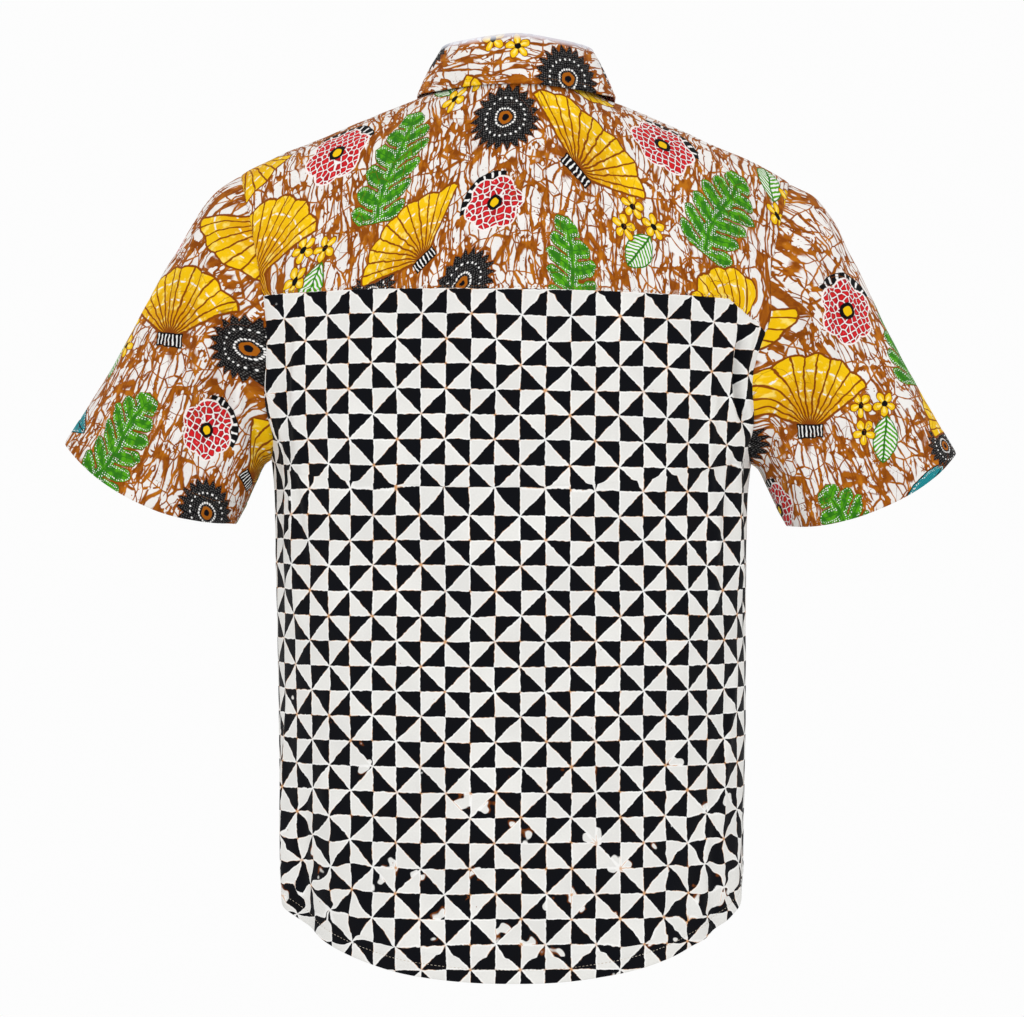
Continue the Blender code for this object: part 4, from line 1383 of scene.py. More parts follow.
def crackle_cloth(name):
    """The crackled cloth; each sewn piece is cut from another place of the repeat."""
    net = Net(name, roughness=0.80, sheen=CLOTH_SHEEN)
    u, v = net.flat()
    own_u = net.unshifted(u)
    colour, grit, dense = crackle(net, u, v)
    wobble = net.noise((u, v, 14.0), 8.0, 2.0, 0.6, pair=True)
    drawn_u = u + (wobble[0] - 0.5) * HAND_SHAKE
    drawn_v = v + (wobble[1] - 0.5) * HAND_SHAKE
    dots = net.step(net.cell_middle((drawn_u, drawn_v, 4.0), DOT_CELL, 0.35), 0.34, 0.24)
    mesh = net.cell_edge((drawn_u, drawn_v, 8.0), SCALE_CELL, 0.55)
    for kind, across, up, swing, size in MOTIFS:
        at = Motif(net, (drawn_u, drawn_v), (dots, mesh, grit), (across, up), swing, size)
        colour = kind(net, at, colour)
    vein = net.step(net.cell_edge((drawn_u, drawn_v * 0.6, 16.0), VEIN_CELL), 0.018, 0.004)
    colour = net.mix(vein * net.step(dense, 0.5, 0.6) * 0.7, colour, BROWN_DEEP)
    # The pale bluish band is a painted highlight along the collar fall's roll, where its top fold catches the
    # light; moved() sets how much
    pale = net.step(own_u, 12.0, 7.0) * 0.0
    pale.socket.node.name = "roll_highlight_share"
    colour = net.mix(pale, colour, ROLL_HIGHLIGHT)
    return net.finish(worn(net, colour, u, v), weave_height(net, u, v))


# --- thread and buttons ---


def thread_material(name, colour, dark):
    """Twisted sewing thread: uneven in tone at random, with painted shade in the grooves of its twist."""
    net = Net(name, roughness=0.6, sheen=0.2)
    x, y, z = net.solid()
    twist = net.do("SINE", (x + y * 0.7 + z) * 14.0) * 0.5 + 0.5
    tone = net.noise((x, y, z), 6.0)
    # Painted shade: the twist term darkens the colour where the bump's height is low, in the grooves
    return net.finish(net.lay(dark, colour, tone + twist * 0.25, 0.35, 0.85), twist, 0.0001, 0.4)


def horn_material(name):
    """Dark brown horn, cloudy and polished."""
    net = Net(name, roughness=0.3, specular=0.5)
    x, y, z = net.solid()
    cloud = net.noise((x * 0.5, y, z), 3.2, 4.0, 0.6)
    streak = net.noise((x * 0.3, y, z * 1.4), 1.1)
    colour = net.lay(srgb(44, 26, 18), srgb(98, 62, 38), cloud, 0.35, 0.7)
    colour = net.lay(colour, srgb(140, 98, 62), streak, 0.55, 0.75, 0.5)
    rough = cloud * 0.18 + 0.2
    return net.finish(colour, cloud + streak * 0.5, 0.0001, 0.25, rough)


def hole_shade_material(name):
    """The dark inside of a button's holes: painted shade that stands in for their depth, mottled at random.
    """
    net = Net(name, roughness=0.9)
    mottle = net.noise(net.node("TexCoord").outputs["Object"], 0.0004)
    return net.finish(net.mix(mottle, srgb(10, 7, 5), srgb(26, 18, 14)), mottle, 0.0001, 0.3)


# --- the sewn pieces ---

# Creases on each piece. columns: from u, from v, to u, to v, half width, height
# On the torso u runs from centre back or front towards the left arm, and v up from the level above.
BACK_CREASES = (
    (186, 246, 172, 40, 6, 3.6),
    (212, 236, 198, 20, 5, -2.6),
    (196, 150, 186, -30, 7, 2.6),
    (-199, 252, -216, 160, 4.2, -5.6),
    (-210, 256, -228, 160, 5, 4.4),
    (-180, 200, -190, 40, 6, 2.6),
    (-208, 150, -196, -20, 5, -2.4),
    (-150, 262, -128, 150, 9, 1.4),
    (148, 258, 132, 140, 9, 1.3),
    (216, -60, 206, -290, 7, 2.6),
    (188, -130, 180, -300, 8, -2.4),
    (162, -60, 150, -210, 9, 1.6),
    (-214, -40, -202, -290, 7, 2.6),
    (-182, -160, -176, -300, 8, 2.4),
    (-158, 20, -150, -130, 10, 1.4),
    (96, -200, 86, -310, 13, 1.6),
    (-62, -190, -74, -310, 14, -1.6),
    (24, -150, 34, -300, 16, 1.2),
    (-110, 90, -96, -60, 18, 1),
    (70, 200, 60, 60, 20, 1),
    (-24, 240, -30, 110, 18, 0.9),
    (110, 30, 128, -90, 12, 1.1),
)
FRONT_CREASES = (
    (176, 225, 146, 50, 7, 3),
    (205, 180, 186, -20, 6, -2.6),
    (120, 250, 96, 120, 10, 1.8),
    (60, 300, 40, 190, 10, 1.3),
    (200, -70, 190, -290, 7.5, 2.6),
    (150, -140, 140, -300, 11, -2),
    (96, -60, 84, -280, 14, 1.6),
    (52, 60, 44, -90, 12, -1.1),
    (140, 60, 118, -70, 13, 1.4),
)
YOKE_CREASES = (
    (150, 60, 70, 96, 12, 1.1),
    (-155, 66, -80, 104, 12, 1.1),
    (205, 40, 188, 140, 8, 2),
    (-205, 44, -190, 140, 8, 2),
    (60, 84, 40, 168, 14, 0.9),
    (-70, 86, -46, 170, 14, 0.9),
    (0, 74, 12, 150, 16, 0.8),
)
# On a sleeve u runs round from the upper edge, over the back, and v down the arm.
SLEEVE_CREASES = (
    (60, 60, 120, 180, 8, 4.6),
    (92, 70, 150, 190, 7, -5.4),
    (124, 96, 172, 200, 6, 5),
    (140, 90, 190, 190, 5, -3.6),
    (30, 40, 74, 150, 7, 2.2),
    (24, 110, 48, 250, 12, 1.8),
    (84, 170, 96, 262, 10, -2.6),
    (120, 60, 138, 150, 6, -3.4),
    (-70, 60, -116, 190, 8, 2.8),
    (-104, 80, -150, 200, 7, -2.4),
    (-40, 110, -60, 250, 11, 1.7),
    (-140, 110, -168, 205, 6, 2.4),
)

# Widths of the hems and of the fronts' facing, and the other stitching's distances from its edges
BODY_HEM = 11.0
CUFF_HEM = 24.0
FACING = 30.0
FRONT_EDGE = 3.0
YOKE_STITCH = 1.8
STAND_STITCH = 2.0
FALL_STITCH = 5.0
# How much the cloth rises and falls between seams, over wide and small places
UNEVEN_WIDE = 1.0
UNEVEN_SMALL = 0.22
CALM_REACH = 14.0
# How much deeper the left front's and sleeve's creases are than the common ones, and the right's less
FRONT_UNLIKE = 0.12
SLEEVE_UNLIKE = 0.15
# Seeds of each piece's unevenness, and of its hem's and its stitching's ripples
BACK_SEEDS = (11, 21, 31)
FRONT_SEEDS = (41, 51, 61)
YOKE_SEEDS = (71, 81)
SLEEVE_SEEDS = (91, 101, 111)
FALL_SEEDS = (121, 131)
# Ripples along stitching. columns: distance from the edge, reach, height, length of a ripple
BACK_RIPPLES = (2.0, 5.0, 0.14, 8.0)
YOKE_RIPPLES = (2.0, 5.0, 0.16, 8.0)
FRONT_RIPPLES = (FACING, 4.0, 0.12, 9.0)
SLEEVE_RIPPLES = (3.0, 8.0, 0.30, 12.0)
FALL_RIPPLES = (FALL_STITCH, 4.0, 0.10, 7.0)
# How many cells next to an edge are cut again, and into how many parts
HEM_CUT = (4, 4)
SEAM_CUT = (1, 5)
CUFF_CUT = (6, 3)


def soften(cloth, seed, sides, creases, scale=1.0):
    """Creases and slight unevenness, held flat at the seams."""
    u, v = cloth.flat[..., 0], cloth.flat[..., 1]
    height = crease_height(cloth, creases) * scale
    height = height + UNEVEN_WIDE * uneven(u, v * 0.6, 120.0, seed)
    height = height + UNEVEN_SMALL * uneven(u, v * 0.8, 30.0, seed + 5)
    return height * calm(cloth, sides, CALM_REACH)


def torso_cloth(places, layer, start, foot, head, left, right):
    """A torso piece's middle surface. The last four say how its edges' cells are cut again."""
    rows = crowded(places.shape[0], foot, head)
    columns = crowded(places.shape[1], left, right)
    places = resample(places, rows, columns)
    turn, level = places[..., 0], places[..., 1]
    flat = None
    if start is not None:
        flat = on_coarse(lambda at: stacked(across_flat(at[..., 0], at[..., 1], start),
                                            down_flat(at[..., 0], at[..., 1])), places)
    return Cloth(torso(turn, level, layer), torso_normal(turn, level, layer), flat)


def finished(name, cloth, height, material):
    """Raises a cloth by its relief and closes it; returns the cloth and its object."""
    cloth.raise_by(height)
    cloth.turn_normals()
    return cloth, make_shell(name, cloth, material)


def build_back(material):
    cloth = torso_cloth(back_places(), 0, 0.0, HEM_CUT, SEAM_CUT, SEAM_CUT, SEAM_CUT)
    height = soften(cloth, BACK_SEEDS[0], ("head", "left", "right"), BACK_CREASES)
    height += seam_height(cloth, ("head", "left", "right"))
    height += hem_height(cloth, "foot", BODY_HEM, BACK_SEEDS[1])
    height += pucker_height(cloth, "head", *BACK_RIPPLES, BACK_SEEDS[2])
    return finished("cloth_back_panel", cloth, height, material)


def build_front(name, side, material):
    """side is 1 for the left front, which laps over, and -1 for the right."""
    places = front_places()
    if side < 0:
        places = mirrored(places)
    cloth = torso_cloth(places, side, HALF_TURN * side, HEM_CUT, SEAM_CUT, HEM_CUT, SEAM_CUT)
    if side < 0:
        cloth.flat = mirrored(cloth.flat)
    creases = [(u0 * side, v0, u1 * side, v1, *size) for u0, v0, u1, v1, *size in FRONT_CREASES]
    uneven_seed, hem_seed, ripple_seed = (seed + side for seed in FRONT_SEEDS)
    height = soften(cloth, uneven_seed, ("head", "left", "right"), creases, 1.0 + FRONT_UNLIKE * side)
    height += seam_height(cloth, ("head", "right"))
    height += hem_height(cloth, "foot", BODY_HEM, hem_seed)
    height += pucker_height(cloth, "left", *FRONT_RIPPLES, ripple_seed)
    return finished("cloth_front_" + name, cloth, height, material)


def build_yoke(material):
    cloth = torso_cloth(yoke_places(), 0, None, SEAM_CUT, SEAM_CUT, SEAM_CUT, SEAM_CUT)
    cloth.flat = on_coarse(over_flat, cloth.points)
    height = soften(cloth, YOKE_SEEDS[0], ("foot", "head", "left", "right"), YOKE_CREASES)
    height += seam_height(cloth, ("foot", "head", "left", "right"))
    height += pucker_height(cloth, "head", *YOKE_RIPPLES, YOKE_SEEDS[1])
    cloth.flat = -cloth.flat
    return finished("cloth_yoke", cloth, height, material)


# The way down a sleeve, and how far along it the sleeve's own v starts
SLEEVE_AXIS = np.array([0.53, 0.0, -0.848])
SLEEVE_START = 180.0


def side_of(side):
    return np.array([side, 1.0, 1.0])


def sleeve_ring(row, stations):
    _, outer_x, outer_z, under_x, under_z, y, behind, before, hang_behind, hang_before = row
    angle = WHOLE_TURN * stations / RING_STATIONS
    share, deep = ring_oval(angle, behind, before)
    half = np.array([outer_x - under_x, 0.0, outer_z - under_z]) / 2.0
    centre = np.array([(outer_x + under_x) / 2.0, y, (outer_z + under_z) / 2.0])
    onward = unit(np.array([half[2], 0.0, -half[0]]))
    hang = np.where(np.sin(angle) >= 0, hang_behind, hang_before) * np.sin(angle) ** 2
    along_y = np.array([0.0, 1.0, 0.0])
    return centre + share[:, None] * half + deep[:, None] * along_y + hang[:, None] * onward


def sleeve_folds(side, shares, stations):
    turns = FULL_CIRCLE * stations[None, :] / RING_STATIONS
    shares = shares[:, None]
    total = np.zeros((len(shares), len(stations)))
    for fold_side, start, end, first, last, half_width, height in SLEEVE_FOLDS:
        if fold_side != side:
            continue
        part = (shares - first) / (last - first)
        fade = ease(part * FOLD_FADE) * ease((1.0 - part) * FOLD_FADE)
        away = turned_from(turns, start + (end - start) * shares)
        total += height * fade * hump(away, half_width) * (shares > 0)
    return total


def through_all(knots, rings, at):
    """The smooth curve of through, for every station and axis of the rings."""
    grid = np.zeros((len(at), rings.shape[1], 3))
    for station, axis in np.ndindex(rings.shape[1:]):
        grid[:, station, axis] = through(knots, rings[:, station, axis], at)
    return grid


def build_sleeve(name, side, material):
    # Stations once round the sleeve, from the underarm seam, over the back, to the seam again
    stations = np.linspace(-RING_PIT, RING_PIT, RING_STATIONS * FINE + 1)
    places = ring_place(stations)
    first = torso(side * places[:, 0], places[:, 1]) * side_of(side)
    rings = np.array([first] + [sleeve_ring(row, stations) for row in SLEEVE_RINGS])
    knots = np.concatenate([[0.0], column(SLEEVE_RINGS, 0)])
    even = np.linspace(0.0, 1.0, SLEEVE_ROWS * FINE + 1)
    cuts = crowded(len(even), SEAM_CUT, CUFF_CUT)
    even = np.interp(cuts, np.arange(len(even)), even)
    shares = even * (1.0 - SLEEVE_CROWDING + SLEEVE_CROWDING * even)
    grid = through_all(knots, rings, shares)
    normals = unit(np.cross(np.gradient(grid, axis=0), np.gradient(grid, axis=1)))
    grid = grid + normals * sleeve_folds(side, shares, stations)[..., None]
    down = grid @ SLEEVE_AXIS - SLEEVE_START
    steps = np.diff(grid, axis=1)
    flat_step = np.sqrt(np.maximum((steps ** 2).sum(axis=-1) - np.diff(down, axis=1) ** 2, 0.0))
    run = np.concatenate([np.zeros((len(shares), 1)), np.cumsum(flat_step, axis=1)], axis=1)
    run = run - run[:, [run.shape[1] // 2]]
    cloth = Cloth(grid, normals, stacked(run, down))
    uneven_seed, hem_seed, ripple_seed = (seed + side for seed in SLEEVE_SEEDS)
    scale = 1.0 + SLEEVE_UNLIKE * side
    height = soften(cloth, uneven_seed, ("foot", "left", "right"), SLEEVE_CREASES, scale)
    height += seam_height(cloth, ("foot", "left", "right"))
    height += hem_height(cloth, "head", CUFF_HEM, hem_seed)
    height += pucker_height(cloth, "foot", *SLEEVE_RIPPLES, ripple_seed)
    cloth.raise_by(height)
    cloth.turn_normals()
    cloth.points = cloth.points * side_of(side)
    cloth.normals = cloth.normals * side_of(side)
    cloth.flat = -cloth.flat
    return cloth, make_shell("cloth_sleeve_" + name, cloth, material)


# --- collar ---


def stand_edges(degrees):
    """Foot and head points of the stand's middle surface at turns round the neck."""
    degrees = np.asarray(degrees, float)
    places = neck_place(degrees)
    foot = np.zeros((len(degrees), 3))
    for layer in (-1, 0, 1):
        here = np.where(degrees > NECK_YOKE_FRONT, 1, np.where(degrees < -NECK_YOKE_FRONT, -1, 0)) == layer
        foot[here] = torso(places[here, 0], places[here, 1], layer)
    out = neck_outward(degrees)
    front = ease((np.abs(degrees) - STAND_SIDE_TURN) / (STAND_FRONT_TURN - STAND_SIDE_TURN))[:, None]
    lean = STAND_LEAN_BACK + (STAND_LEAN_FRONT - STAND_LEAN_BACK) * front
    height = STAND_BACK + (STAND_FRONT - STAND_BACK) * front
    rise = unit(np.array([0.0, 0.0, 1.0]) - out * lean)
    return foot, foot + rise * height


def neck_outward(degrees):
    angle = np.radians(np.asarray(degrees, float))
    return unit(stacked(np.sin(angle) / NECK_HALF_WIDTH, np.cos(angle) / NECK_DEPTH_BACK, 0.0 * angle))


def stand_degrees():
    front = neck_front_degrees(COLLAR_FINE)[1:]
    return np.concatenate([-front[::-1], neck_yoke_degrees(COLLAR_FINE), front])


# The stand's cells from foot to head, how its edges are cut again, and its height at its very ends
STAND_CELLS = 12
STAND_CUT = (1, 3)
END_HEIGHT = 0.45


def build_stand(material):
    degrees = stand_degrees()
    feet, heads = stand_edges(degrees)
    end = STAND_END_CELLS * COLLAR_FINE
    share = np.ones(len(degrees))
    rounding = np.sqrt(np.clip(1.0 - (1.0 - (np.arange(end) + 0.4) / end) ** 2, 0.0, 1.0))
    share[:end] = END_HEIGHT + (1.0 - END_HEIGHT) * rounding
    share[-end:] = share[:end][::-1]
    rows = crowded(STAND_CELLS + 1, STAND_CUT, STAND_CUT)
    steps = (rows / rows[-1])[:, None, None]
    grid = feet[None] + (heads - feet)[None] * steps * share[None, :, None]
    normals = np.cross(np.gradient(feet, axis=0), heads - feet)
    normals = unit(normals) * np.sign(normals[len(degrees) // 2, 1])
    normals = np.broadcast_to(normals, grid.shape).copy()
    rise = np.linalg.norm(grid - feet[None], axis=-1)
    cloth = Cloth(grid, normals, stacked(rise, centred(feet)[None, :]))
    cloth.raise_by(seam_height(cloth, ("foot",)) * 0.5)
    return cloth, make_shell("cloth_collar_stand", cloth, material, COLLAR_CLOTH)


# Cells of the fall over its roll and down its face, and how those at its edge are cut again
FALL_ROLL_STEPS = 10
FALL_LAY_STEPS = 24
FALL_CUT = (4, 3)
# How near its ends the stand's own turns are left out, in degrees
FALL_MARGIN = 0.8
# How deep its stitching draws it in, and how much its face rises and falls
FALL_DIP = 0.28
FALL_UNEVEN = 0.35


def fall_edge(degrees):
    turns = column(FALL_EDGE, 0)
    x, y, z = (through(turns, column(FALL_EDGE, i), np.abs(degrees)) for i in (1, 2, 3))
    return stacked(x * np.sign(degrees), y, z)


def build_fall(material):
    inner = stand_degrees()
    inner = inner[np.abs(inner) < FALL_END - FALL_MARGIN]
    degrees = np.concatenate([[-FALL_END], inner, [FALL_END]])
    feet, heads = stand_edges(degrees)
    up = unit(heads - feet)
    out = square_to(neck_outward(degrees), up)
    base = heads + up * FALL_GAP
    centre = base + up * ROLL_RISE + out * ROLL_RADIUS
    rows = [base]
    across = [-out]
    for k in range(FALL_ROLL_STEPS + 1):
        sweep = HALF_TURN * k / FALL_ROLL_STEPS
        ray = -out * math.cos(sweep) + up * math.sin(sweep)
        rows.append(centre + ray * ROLL_RADIUS)
        across.append(ray)
    start = rows[-1]
    edge = fall_edge(degrees)
    slope = unit(edge - start)
    face = square_to(out, slope)
    cuts = crowded(FALL_LAY_STEPS + 1, (1, 1), FALL_CUT)
    for share in cuts[1:] / cuts[-1]:
        bulge = FALL_BULGE * math.sin(HALF_TURN * share)
        rows.append(start + (edge - start) * share + face * bulge)
        across.append(face)
    grid = np.array(rows)
    normals = np.array(across)
    cloth = Cloth(grid, normals, None)
    cloth.flat = stacked(cloth.to["foot"], centred(grid[FALL_ROLL_STEPS + FALL_LAY_STEPS // 2])[None, :])
    height = -FALL_DIP * hump(cloth.to["head"] - FALL_STITCH, 1.1)
    swell = uneven(cloth.flat[..., 1], cloth.flat[..., 0], 60.0, FALL_SEEDS[0])
    height += FALL_UNEVEN * swell * calm(cloth, ("foot",), 12.0)
    height += pucker_height(cloth, "head", *FALL_RIPPLES, FALL_SEEDS[1])
    cloth.raise_by(height)
    return cloth, make_shell("cloth_collar_fall", cloth, material, COLLAR_CLOTH)


# --- sewing ---

STITCH = 2.5
STITCH_GAP = 0.75
THREAD_HALF = 0.2
# How deep a stitch's ends go into the cloth, and how much slimmer they are
STITCH_DIP = 0.34
STITCH_TAPER = 0.6
STITCH_SIDES = 6
STITCH_RINGS = 5


def line_at(cloth, side, distance, skip=0):
    """Points and normals on a cloth's outer face at a distance from one of its edges."""
    to = cloth.to[side]
    points, normals = cloth.points, cloth.normals
    if side in ("left", "right"):
        to, points, normals = to.T, points.transpose(1, 0, 2), normals.transpose(1, 0, 2)
    if side in ("head", "right"):
        to, points, normals = to[::-1], points[::-1], normals[::-1]
    found = []
    facing = []
    for j in range(skip, to.shape[1] - skip):
        i = int(np.clip(np.searchsorted(to[:, j], distance), 1, len(to) - 1))
        part = (distance - to[i - 1, j]) / max(to[i, j] - to[i - 1, j], SHORTEST)
        found.append(points[i - 1, j] * (1 - part) + points[i, j] * part)
        facing.append(normals[i - 1, j] * (1 - part) + normals[i, j] * part)
    return np.array(found), unit(np.array(facing))


def stitches(name, lines, material, lift, length=STITCH, gap=STITCH_GAP):
    """Rows of separate stitches, each a short thread that dips into the cloth at both ends."""
    angle = WHOLE_TURN * np.arange(STITCH_SIDES) / STITCH_SIDES
    along = np.linspace(0.0, 1.0, STITCH_RINGS)
    lower = -STITCH_DIP * (2.0 * along - 1.0) ** 4
    slim = THREAD_HALF * (1.0 - STITCH_TAPER * (2.0 * along - 1.0) ** 6)
    vertices = []
    quads = []
    for points, normals in lines:
        run = running(points)
        pace = length + gap
        count = int(run[-1] // pace)
        if count < 1:
            continue
        spare = (run[-1] - count * pace + gap) / 2.0
        starts = spare + np.arange(count) * pace
        at = starts[:, None] + along[None, :] * length
        place = stacked(*(np.interp(at, run, axis) for axis in points.T))
        facing = unit(stacked(*(np.interp(at, run, axis) for axis in normals.T)))
        heading = unit(place[:, -1:] - place[:, :1]) + 0.0 * place
        beside = unit(np.cross(heading, facing))
        middle = place + facing * (lift + lower[None, :, None])
        ray = (beside[:, :, None] * np.cos(angle)[None, None, :, None]
               + facing[:, :, None] * np.sin(angle)[None, None, :, None])
        rings = middle[:, :, None] + ray * slim[None, :, None, None]
        base = sum(len(v) for v in vertices)
        vertices.append(rings.reshape(-1, 3))
        for stitch in range(count):
            quads.append(ring_quads(STITCH_RINGS, STITCH_SIDES, base + stitch * STITCH_RINGS * STITCH_SIDES))
    return make_mesh(name, np.concatenate(vertices), np.concatenate(quads), None, material)


# --- buttons ---

# How far a button's back is off the cloth, and its face above its back
BUTTON_LIFT = 0.75
BUTTON_FACE = 1.6
BUTTON_LEVELS = (-122.0, -212.0, -302.0, -392.0, -482.0, -572.0)
BUTTON_SIDES = 48
# A button from its back round the rim to the middle of its face. columns: radius, height
BUTTON_PROFILE = (
    (0, 0), (3.6, 0), (4.9, 0.15), (5.4, 0.6), (5.6, 1.2), (5.5, 1.75), (5.2, 2.15), (4.8, 2.35),
    (4.3, 2.4), (3.9, 2.3), (3.6, 2.05), (3.4, 1.8), (3.1, 1.66), (2.4, 1.62), (1.2, 1.6), (0, 1.6),
)
# Its four holes, as steps across and up, and a hole's rim, in the columns of the profile above
HOLE_OFF = 1.25
HOLE_SIDES = 14
HOLES = ((1, 1), (-1, 1), (-1, -1), (1, -1))
HOLE_PROFILE = ((0.69, 0.02), (0.55, 0.05), (0.0, 0.03))
# The strands of its thread: how far apart from the middle of a hole, and how high they bow
STRAND_OFF = 0.16
STRAND_LIFT = 0.32
# A buttonhole: half its length, its stitches each side, how far from its slit they start and end,
# and the bars across its ends
HOLE_HALF = 7.2
HOLE_STITCHES = 30
SLIT_HALF = 0.15
SATIN = 1.5
BARS = 3
BAR_PITCH = 0.35
# A disc's middle is a very small ring.
SMALLEST = 0.01


def frame_of(facing):
    across = unit(np.cross(np.array([0.0, 0.0, 1.0]), facing))
    return across, np.cross(facing, across)


def turned_disc(centre, facing, profile, sides):
    across, up = frame_of(facing)
    angle = WHOLE_TURN * np.arange(sides) / sides
    ray = across * np.cos(angle)[:, None] + up * np.sin(angle)[:, None]
    return np.array([centre + ray * max(radius, SMALLEST) + facing * height for radius, height in profile])


def strand(path, facing):
    """A line for stitches: its points, each with the same normal."""
    return path, np.repeat(facing[None], len(path), axis=0)


def build_button(number, point, facing, horn, hole, thread):
    """A four-hole button sewn on with crossed thread, over its worked buttonhole."""
    centre = point + facing * (CLOTH / 2.0 + BUTTON_LIFT)
    disc = turned_disc(centre, facing, BUTTON_PROFILE, BUTTON_SIDES).reshape(-1, 3)
    made = make_mesh(f"button_{number}_horn", disc, ring_quads(len(BUTTON_PROFILE), BUTTON_SIDES, 0),
                     None, horn)
    across, up = frame_of(facing)
    vertices = []
    quads = []
    top = centre + facing * BUTTON_FACE
    # Each hole is a shallow cup in the painted-shade material
    for x, y in HOLES:
        cup = turned_disc(top + (across * x + up * y) * HOLE_OFF, facing, HOLE_PROFILE, HOLE_SIDES)
        quads.append(ring_quads(len(HOLE_PROFILE), HOLE_SIDES, sum(len(v) for v in vertices)))
        vertices.append(cup.reshape(-1, 3))
    holes = make_mesh(f"button_{number}_holes", np.concatenate(vertices), np.concatenate(quads), None, hole)
    lines = []
    for first in (0, 1):
        for shift in (-STRAND_OFF, STRAND_OFF):
            ends = [top + (across * x + up * y) * HOLE_OFF + across * shift
                    for x, y in (HOLES[first], HOLES[first + 2])]
            share = np.linspace(0.0, 1.0, 7)[:, None]
            lift = STRAND_LIFT * np.sin(HALF_TURN * share)
            lines.append(strand(ends[0] * (1 - share) + ends[1] * share + facing * lift, facing))
    stitches(f"button_{number}_thread", lines, thread, lift=0.1, length=3.3, gap=0.1)
    return made, holes


def build_buttonhole(number, point, normal, upright, material):
    """Two rows of close satin stitches round a slit, with a bar at each end."""
    across, up = frame_of(normal)
    if not upright:
        across, up = up, across
    lines = []
    for side in (-1.0, 1.0):
        for k in range(HOLE_STITCHES):
            at = point + up * (HOLE_HALF - k * (2.0 * HOLE_HALF / (HOLE_STITCHES - 1)))
            at = at + normal * (CLOTH / 2.0)
            share = np.linspace(0.0, 1.0, 4)[:, None]
            near, far = at + across * side * SLIT_HALF, at + across * side * SATIN
            lines.append(strand(near * (1 - share) + far * share, normal))
    for end in (-1.0, 1.0):
        for k in range(BARS):
            at = point + up * end * (HOLE_HALF + BAR_PITCH + BAR_PITCH * k) + normal * (CLOTH / 2.0)
            lines.append(strand(at + across * np.linspace(-SATIN, SATIN, 5)[:, None], normal))
    stitches(f"buttonhole_{number}", lines, material, lift=0.1, length=1.25, gap=0.05)


# --- putting it together ---


def declare(made, cloth, node, rests_on, with_pieces, slot):
    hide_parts(node)


# Rows of stitching. columns: edge, distance from it, points left out at its ends
BACK_STITCHING = (("foot", BODY_HEM, 0),)
FRONT_STITCHING = (("foot", BODY_HEM, 0), ("left", FACING, 0), ("left", FRONT_EDGE, 0))
YOKE_STITCHING = (("head", YOKE_STITCH, 0),)
CUFF_STITCHING = (("head", CUFF_HEM, 0),)
STAND_STITCHING = (("foot", STAND_STITCH, 0), ("head", STAND_STITCH, 0))
FALL_STITCHING = (("head", FALL_STITCH, 0), ("left", FALL_STITCH, 12), ("right", FALL_STITCH, 12))

# The sewn pieces. columns: node, what holds it up, slot, its stitching's name, thread, rows
SEWING = (
    ("back_panel", "cloth_yoke", "pinwheel_batik", "back_hem", "pale", BACK_STITCHING),
    ("yoke", "cloth_collar_stand", "crackle_batik", "yoke", "brown", YOKE_STITCHING),
    ("collar_fall", "cloth_collar_stand", "crackle_batik", "collar_fall", "brown", FALL_STITCHING),
    ("collar_stand", "cloth_yoke", "crackle_batik", "collar_stand", "brown", STAND_STITCHING),
    ("front_left", "cloth_yoke", "pinwheel_batik", "front_left", "pale", FRONT_STITCHING),
    ("front_right", "cloth_yoke", "pinwheel_batik", "front_right", "pale", FRONT_STITCHING),
    ("sleeve_left", "cloth_yoke", "crackle_batik", "sleeve_left", "brown", CUFF_STITCHING),
    ("sleeve_right", "cloth_yoke", "crackle_batik", "sleeve_right", "brown", CUFF_STITCHING),
)

# Where the pieces are cut from their cloth. columns: name, shift across, shift up, and for the
# collar's fall how strong the painted highlight along its roll is
PINWHEEL_CUTS = (
    ("back", 7.0, 0.0),
    ("left", -4.0, 306.0),
    ("right", 9.0, -404.0),
)
CRACKLE_CUTS = (
    ("yoke", -3.0, 139.0),
    ("sleeve_left", 115.0, 157.0),
    ("sleeve_right", 185.0, 197.0),
    ("stand", 40.0, 150.0),
    ("fall", -52.0, 81.0, 0.8),
)
# columns: name, display colour of the thread, and of its darker tone, which also paints the shade in its
# twist's grooves
THREADS = (
    ("pale", (214, 205, 190), (150, 132, 108)),
    ("brown", (150, 94, 34), (96, 56, 22)),
    ("dark", (60, 48, 40), (30, 24, 22)),
)


def cut_from(cloth, name, cuts):
    """A cloth's material cut from each place of a table, by name."""
    return {piece: moved(cloth, name + piece, *shift) for piece, *shift in cuts}


def build_cloth():
    """The eight sewn pieces, by node: each one's cloth and its object."""
    pinwheels = cut_from(pinwheel_cloth("pinwheel_batik_back"), "pinwheel_batik_", PINWHEEL_CUTS)
    crackles = cut_from(crackle_cloth("crackle_batik"), "crackle_batik_", CRACKLE_CUTS)
    return {
        "back_panel": build_back(pinwheels["back"]),
        "front_left": build_front("left", 1, pinwheels["left"]),
        "front_right": build_front("right", -1, pinwheels["right"]),
        "yoke": build_yoke(crackles["yoke"]),
        "sleeve_left": build_sleeve("left", 1, crackles["sleeve_left"]),
        "sleeve_right": build_sleeve("right", -1, crackles["sleeve_right"]),
        "collar_stand": build_stand(crackles["stand"]),
        "collar_fall": build_fall(crackles["fall"]),
    }


def sew(pieces, threads):
    """Stitches the pieces and hides the solids that they replace."""
    sewn = {}
    for node, rests_on, slot, name, thread, rows in SEWING:
        thickness = COLLAR_CLOTH if node.startswith("collar") else CLOTH
        lines = [line_at(pieces[node][0], *row) for row in rows]
        stitching = stitches("stitching_" + name, lines, threads[thread], thickness / 2.0)
        sewn[node] = [rests_on], [stitching], slot
    for node, (cloth, made) in pieces.items():
        declare(made, cloth, node, *sewn[node])


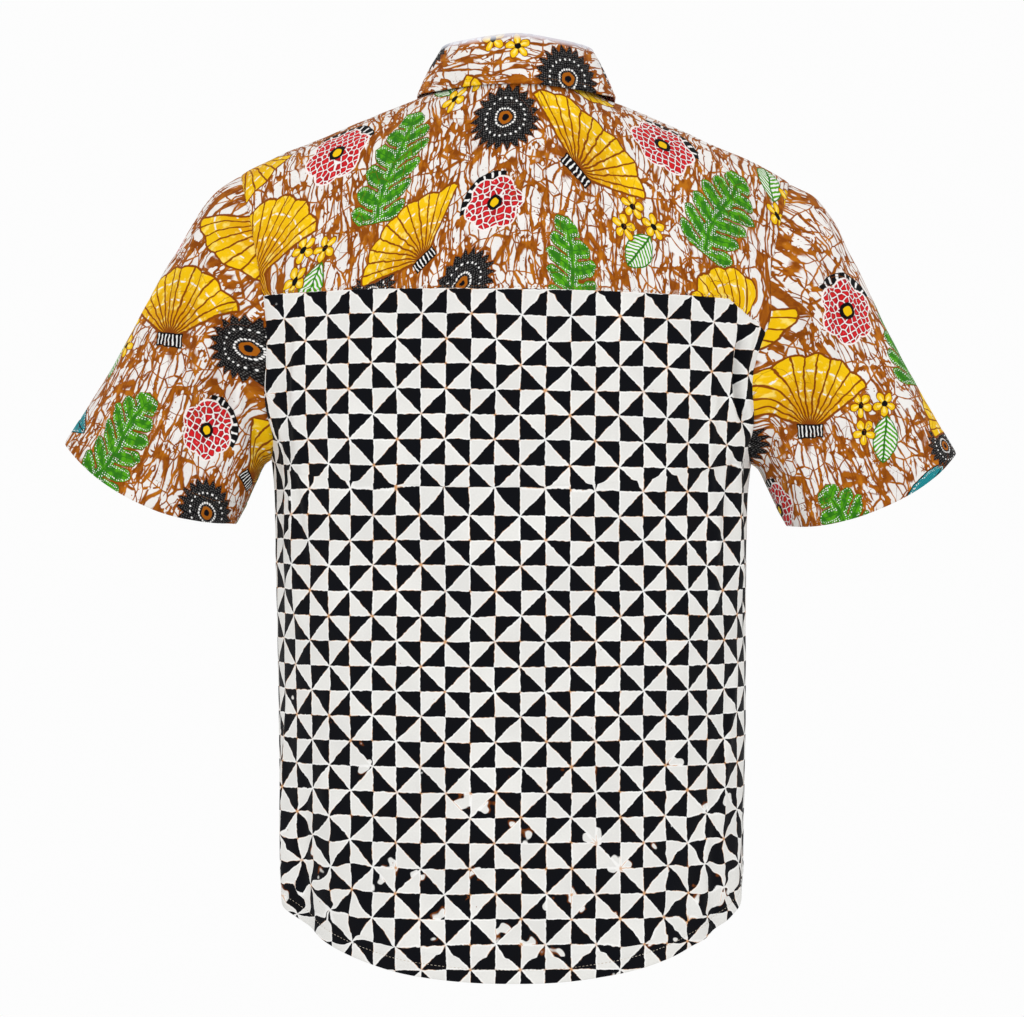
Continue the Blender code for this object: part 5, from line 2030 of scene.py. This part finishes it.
def button_places():
    """Where the buttons are: one on the stand, and the others down the left front."""
    feet, heads = stand_edges([HALF_CIRCLE])
    facing = np.cross(np.array([1.0, 0.0, 0.0]), heads[0] - feet[0])
    facing = unit(facing * -np.sign(facing[1]))
    places = [((feet[0] + heads[0]) / 2.0, facing, False)]
    front = np.array(HALF_TURN)
    for level in BUTTON_LEVELS:
        at = np.array(level)
        places.append((torso(front, at, 1), torso_normal(front, at, 1), True))
    return places


def build_shirt():
    pieces = build_cloth()
    threads = {}
    for name, pale, deep in THREADS:
        threads[name] = thread_material("thread_" + name, srgb(*pale), srgb(*deep))
    sew(pieces, threads)
    # The dark cups in the button holes are painted shade
    hole = hole_shade_material("button_hole_painted_shade")
    horn = horn_material("button_horn")
    for number, (point, facing, upright) in enumerate(button_places(), start=1):
        parts = build_button(number, point, facing, horn, hole, threads["dark"])
        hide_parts(f"button_{number}")
        build_buttonhole(number, point, facing, upright, threads["brown"])


# --- the studio ---

WHITE_LIGHT = (1.0, 1.0, 1.0, 1.0)
WORLD_STRENGTH = 0.98
FLOOR_HALF = 3.2
FLOOR_LEVEL = -1.45
# Soft lamps above and beside the camera. columns: name, x, y, z, watts, width
LAMPS = (
    ("key", 1.5, 3.1, 1.2, 26.0, 2.0),
    ("fill", -1.8, 2.6, 0.2, 12.0, 2.0),
)
AIM = Vector((0.0, 0.0, -0.35))
# The camera looks square at the back. At the shirt the picture is as wide as its pixels, in metres each.
SENSOR = 36.0
CAMERA_AWAY = 3.2
CAMERA_LEVEL = -0.347
PICTURE_PIXELS = 1024
PIXEL = 0.000861


def build_studio():
    """A pale floor out of the picture, even white light, two soft lamps and the camera."""
    scene = bpy.context.scene
    scene.view_settings.view_transform = "Standard"
    corners = [(x * FLOOR_HALF, y * FLOOR_HALF, FLOOR_LEVEL) for x, y in ((-1, -1), (1, -1), (1, 1), (-1, 1))]
    mesh = bpy.data.meshes.new("floor")
    mesh.from_pydata(corners, [], [(0, 1, 2, 3)])
    floor = bpy.data.objects.new("floor", mesh)
    scene.collection.objects.link(floor)
    net = Net("floor_pale", roughness=0.9)
    cloud = net.noise(net.node("TexCoord").outputs["Object"], 0.4)
    mesh.materials.append(net.finish(net.mix(cloud, srgb(236, 236, 236), srgb(242, 242, 242))))

    world = bpy.data.worlds.new("studio")
    world.use_nodes = True
    back = world.node_tree.nodes["Background"]
    back.inputs["Color"].default_value = WHITE_LIGHT
    back.inputs["Strength"].default_value = WORLD_STRENGTH
    scene.world = world

    for name, x, y, z, power, wide in LAMPS:
        lamp = bpy.data.lights.new(name, "AREA")
        lamp.energy = power
        lamp.size = wide
        held = bpy.data.objects.new(name, lamp)
        held.location = (x, y, z)
        held.rotation_euler = (Vector((x, y, z)) - AIM).to_track_quat("Z", "Y").to_euler()
        scene.collection.objects.link(held)

    lens = bpy.data.cameras.new("camera")
    lens.sensor_width = SENSOR
    lens.sensor_fit = "HORIZONTAL"
    lens.lens = SENSOR * CAMERA_AWAY / (PICTURE_PIXELS * PIXEL)
    camera = bpy.data.objects.new("camera", lens)
    camera.location = (0.0, CAMERA_AWAY, CAMERA_LEVEL)
    camera.rotation_euler = (QUARTER_TURN, 0.0, HALF_TURN)
    scene.collection.objects.link(camera)
    scene.camera = camera


build_shirt()
build_studio()
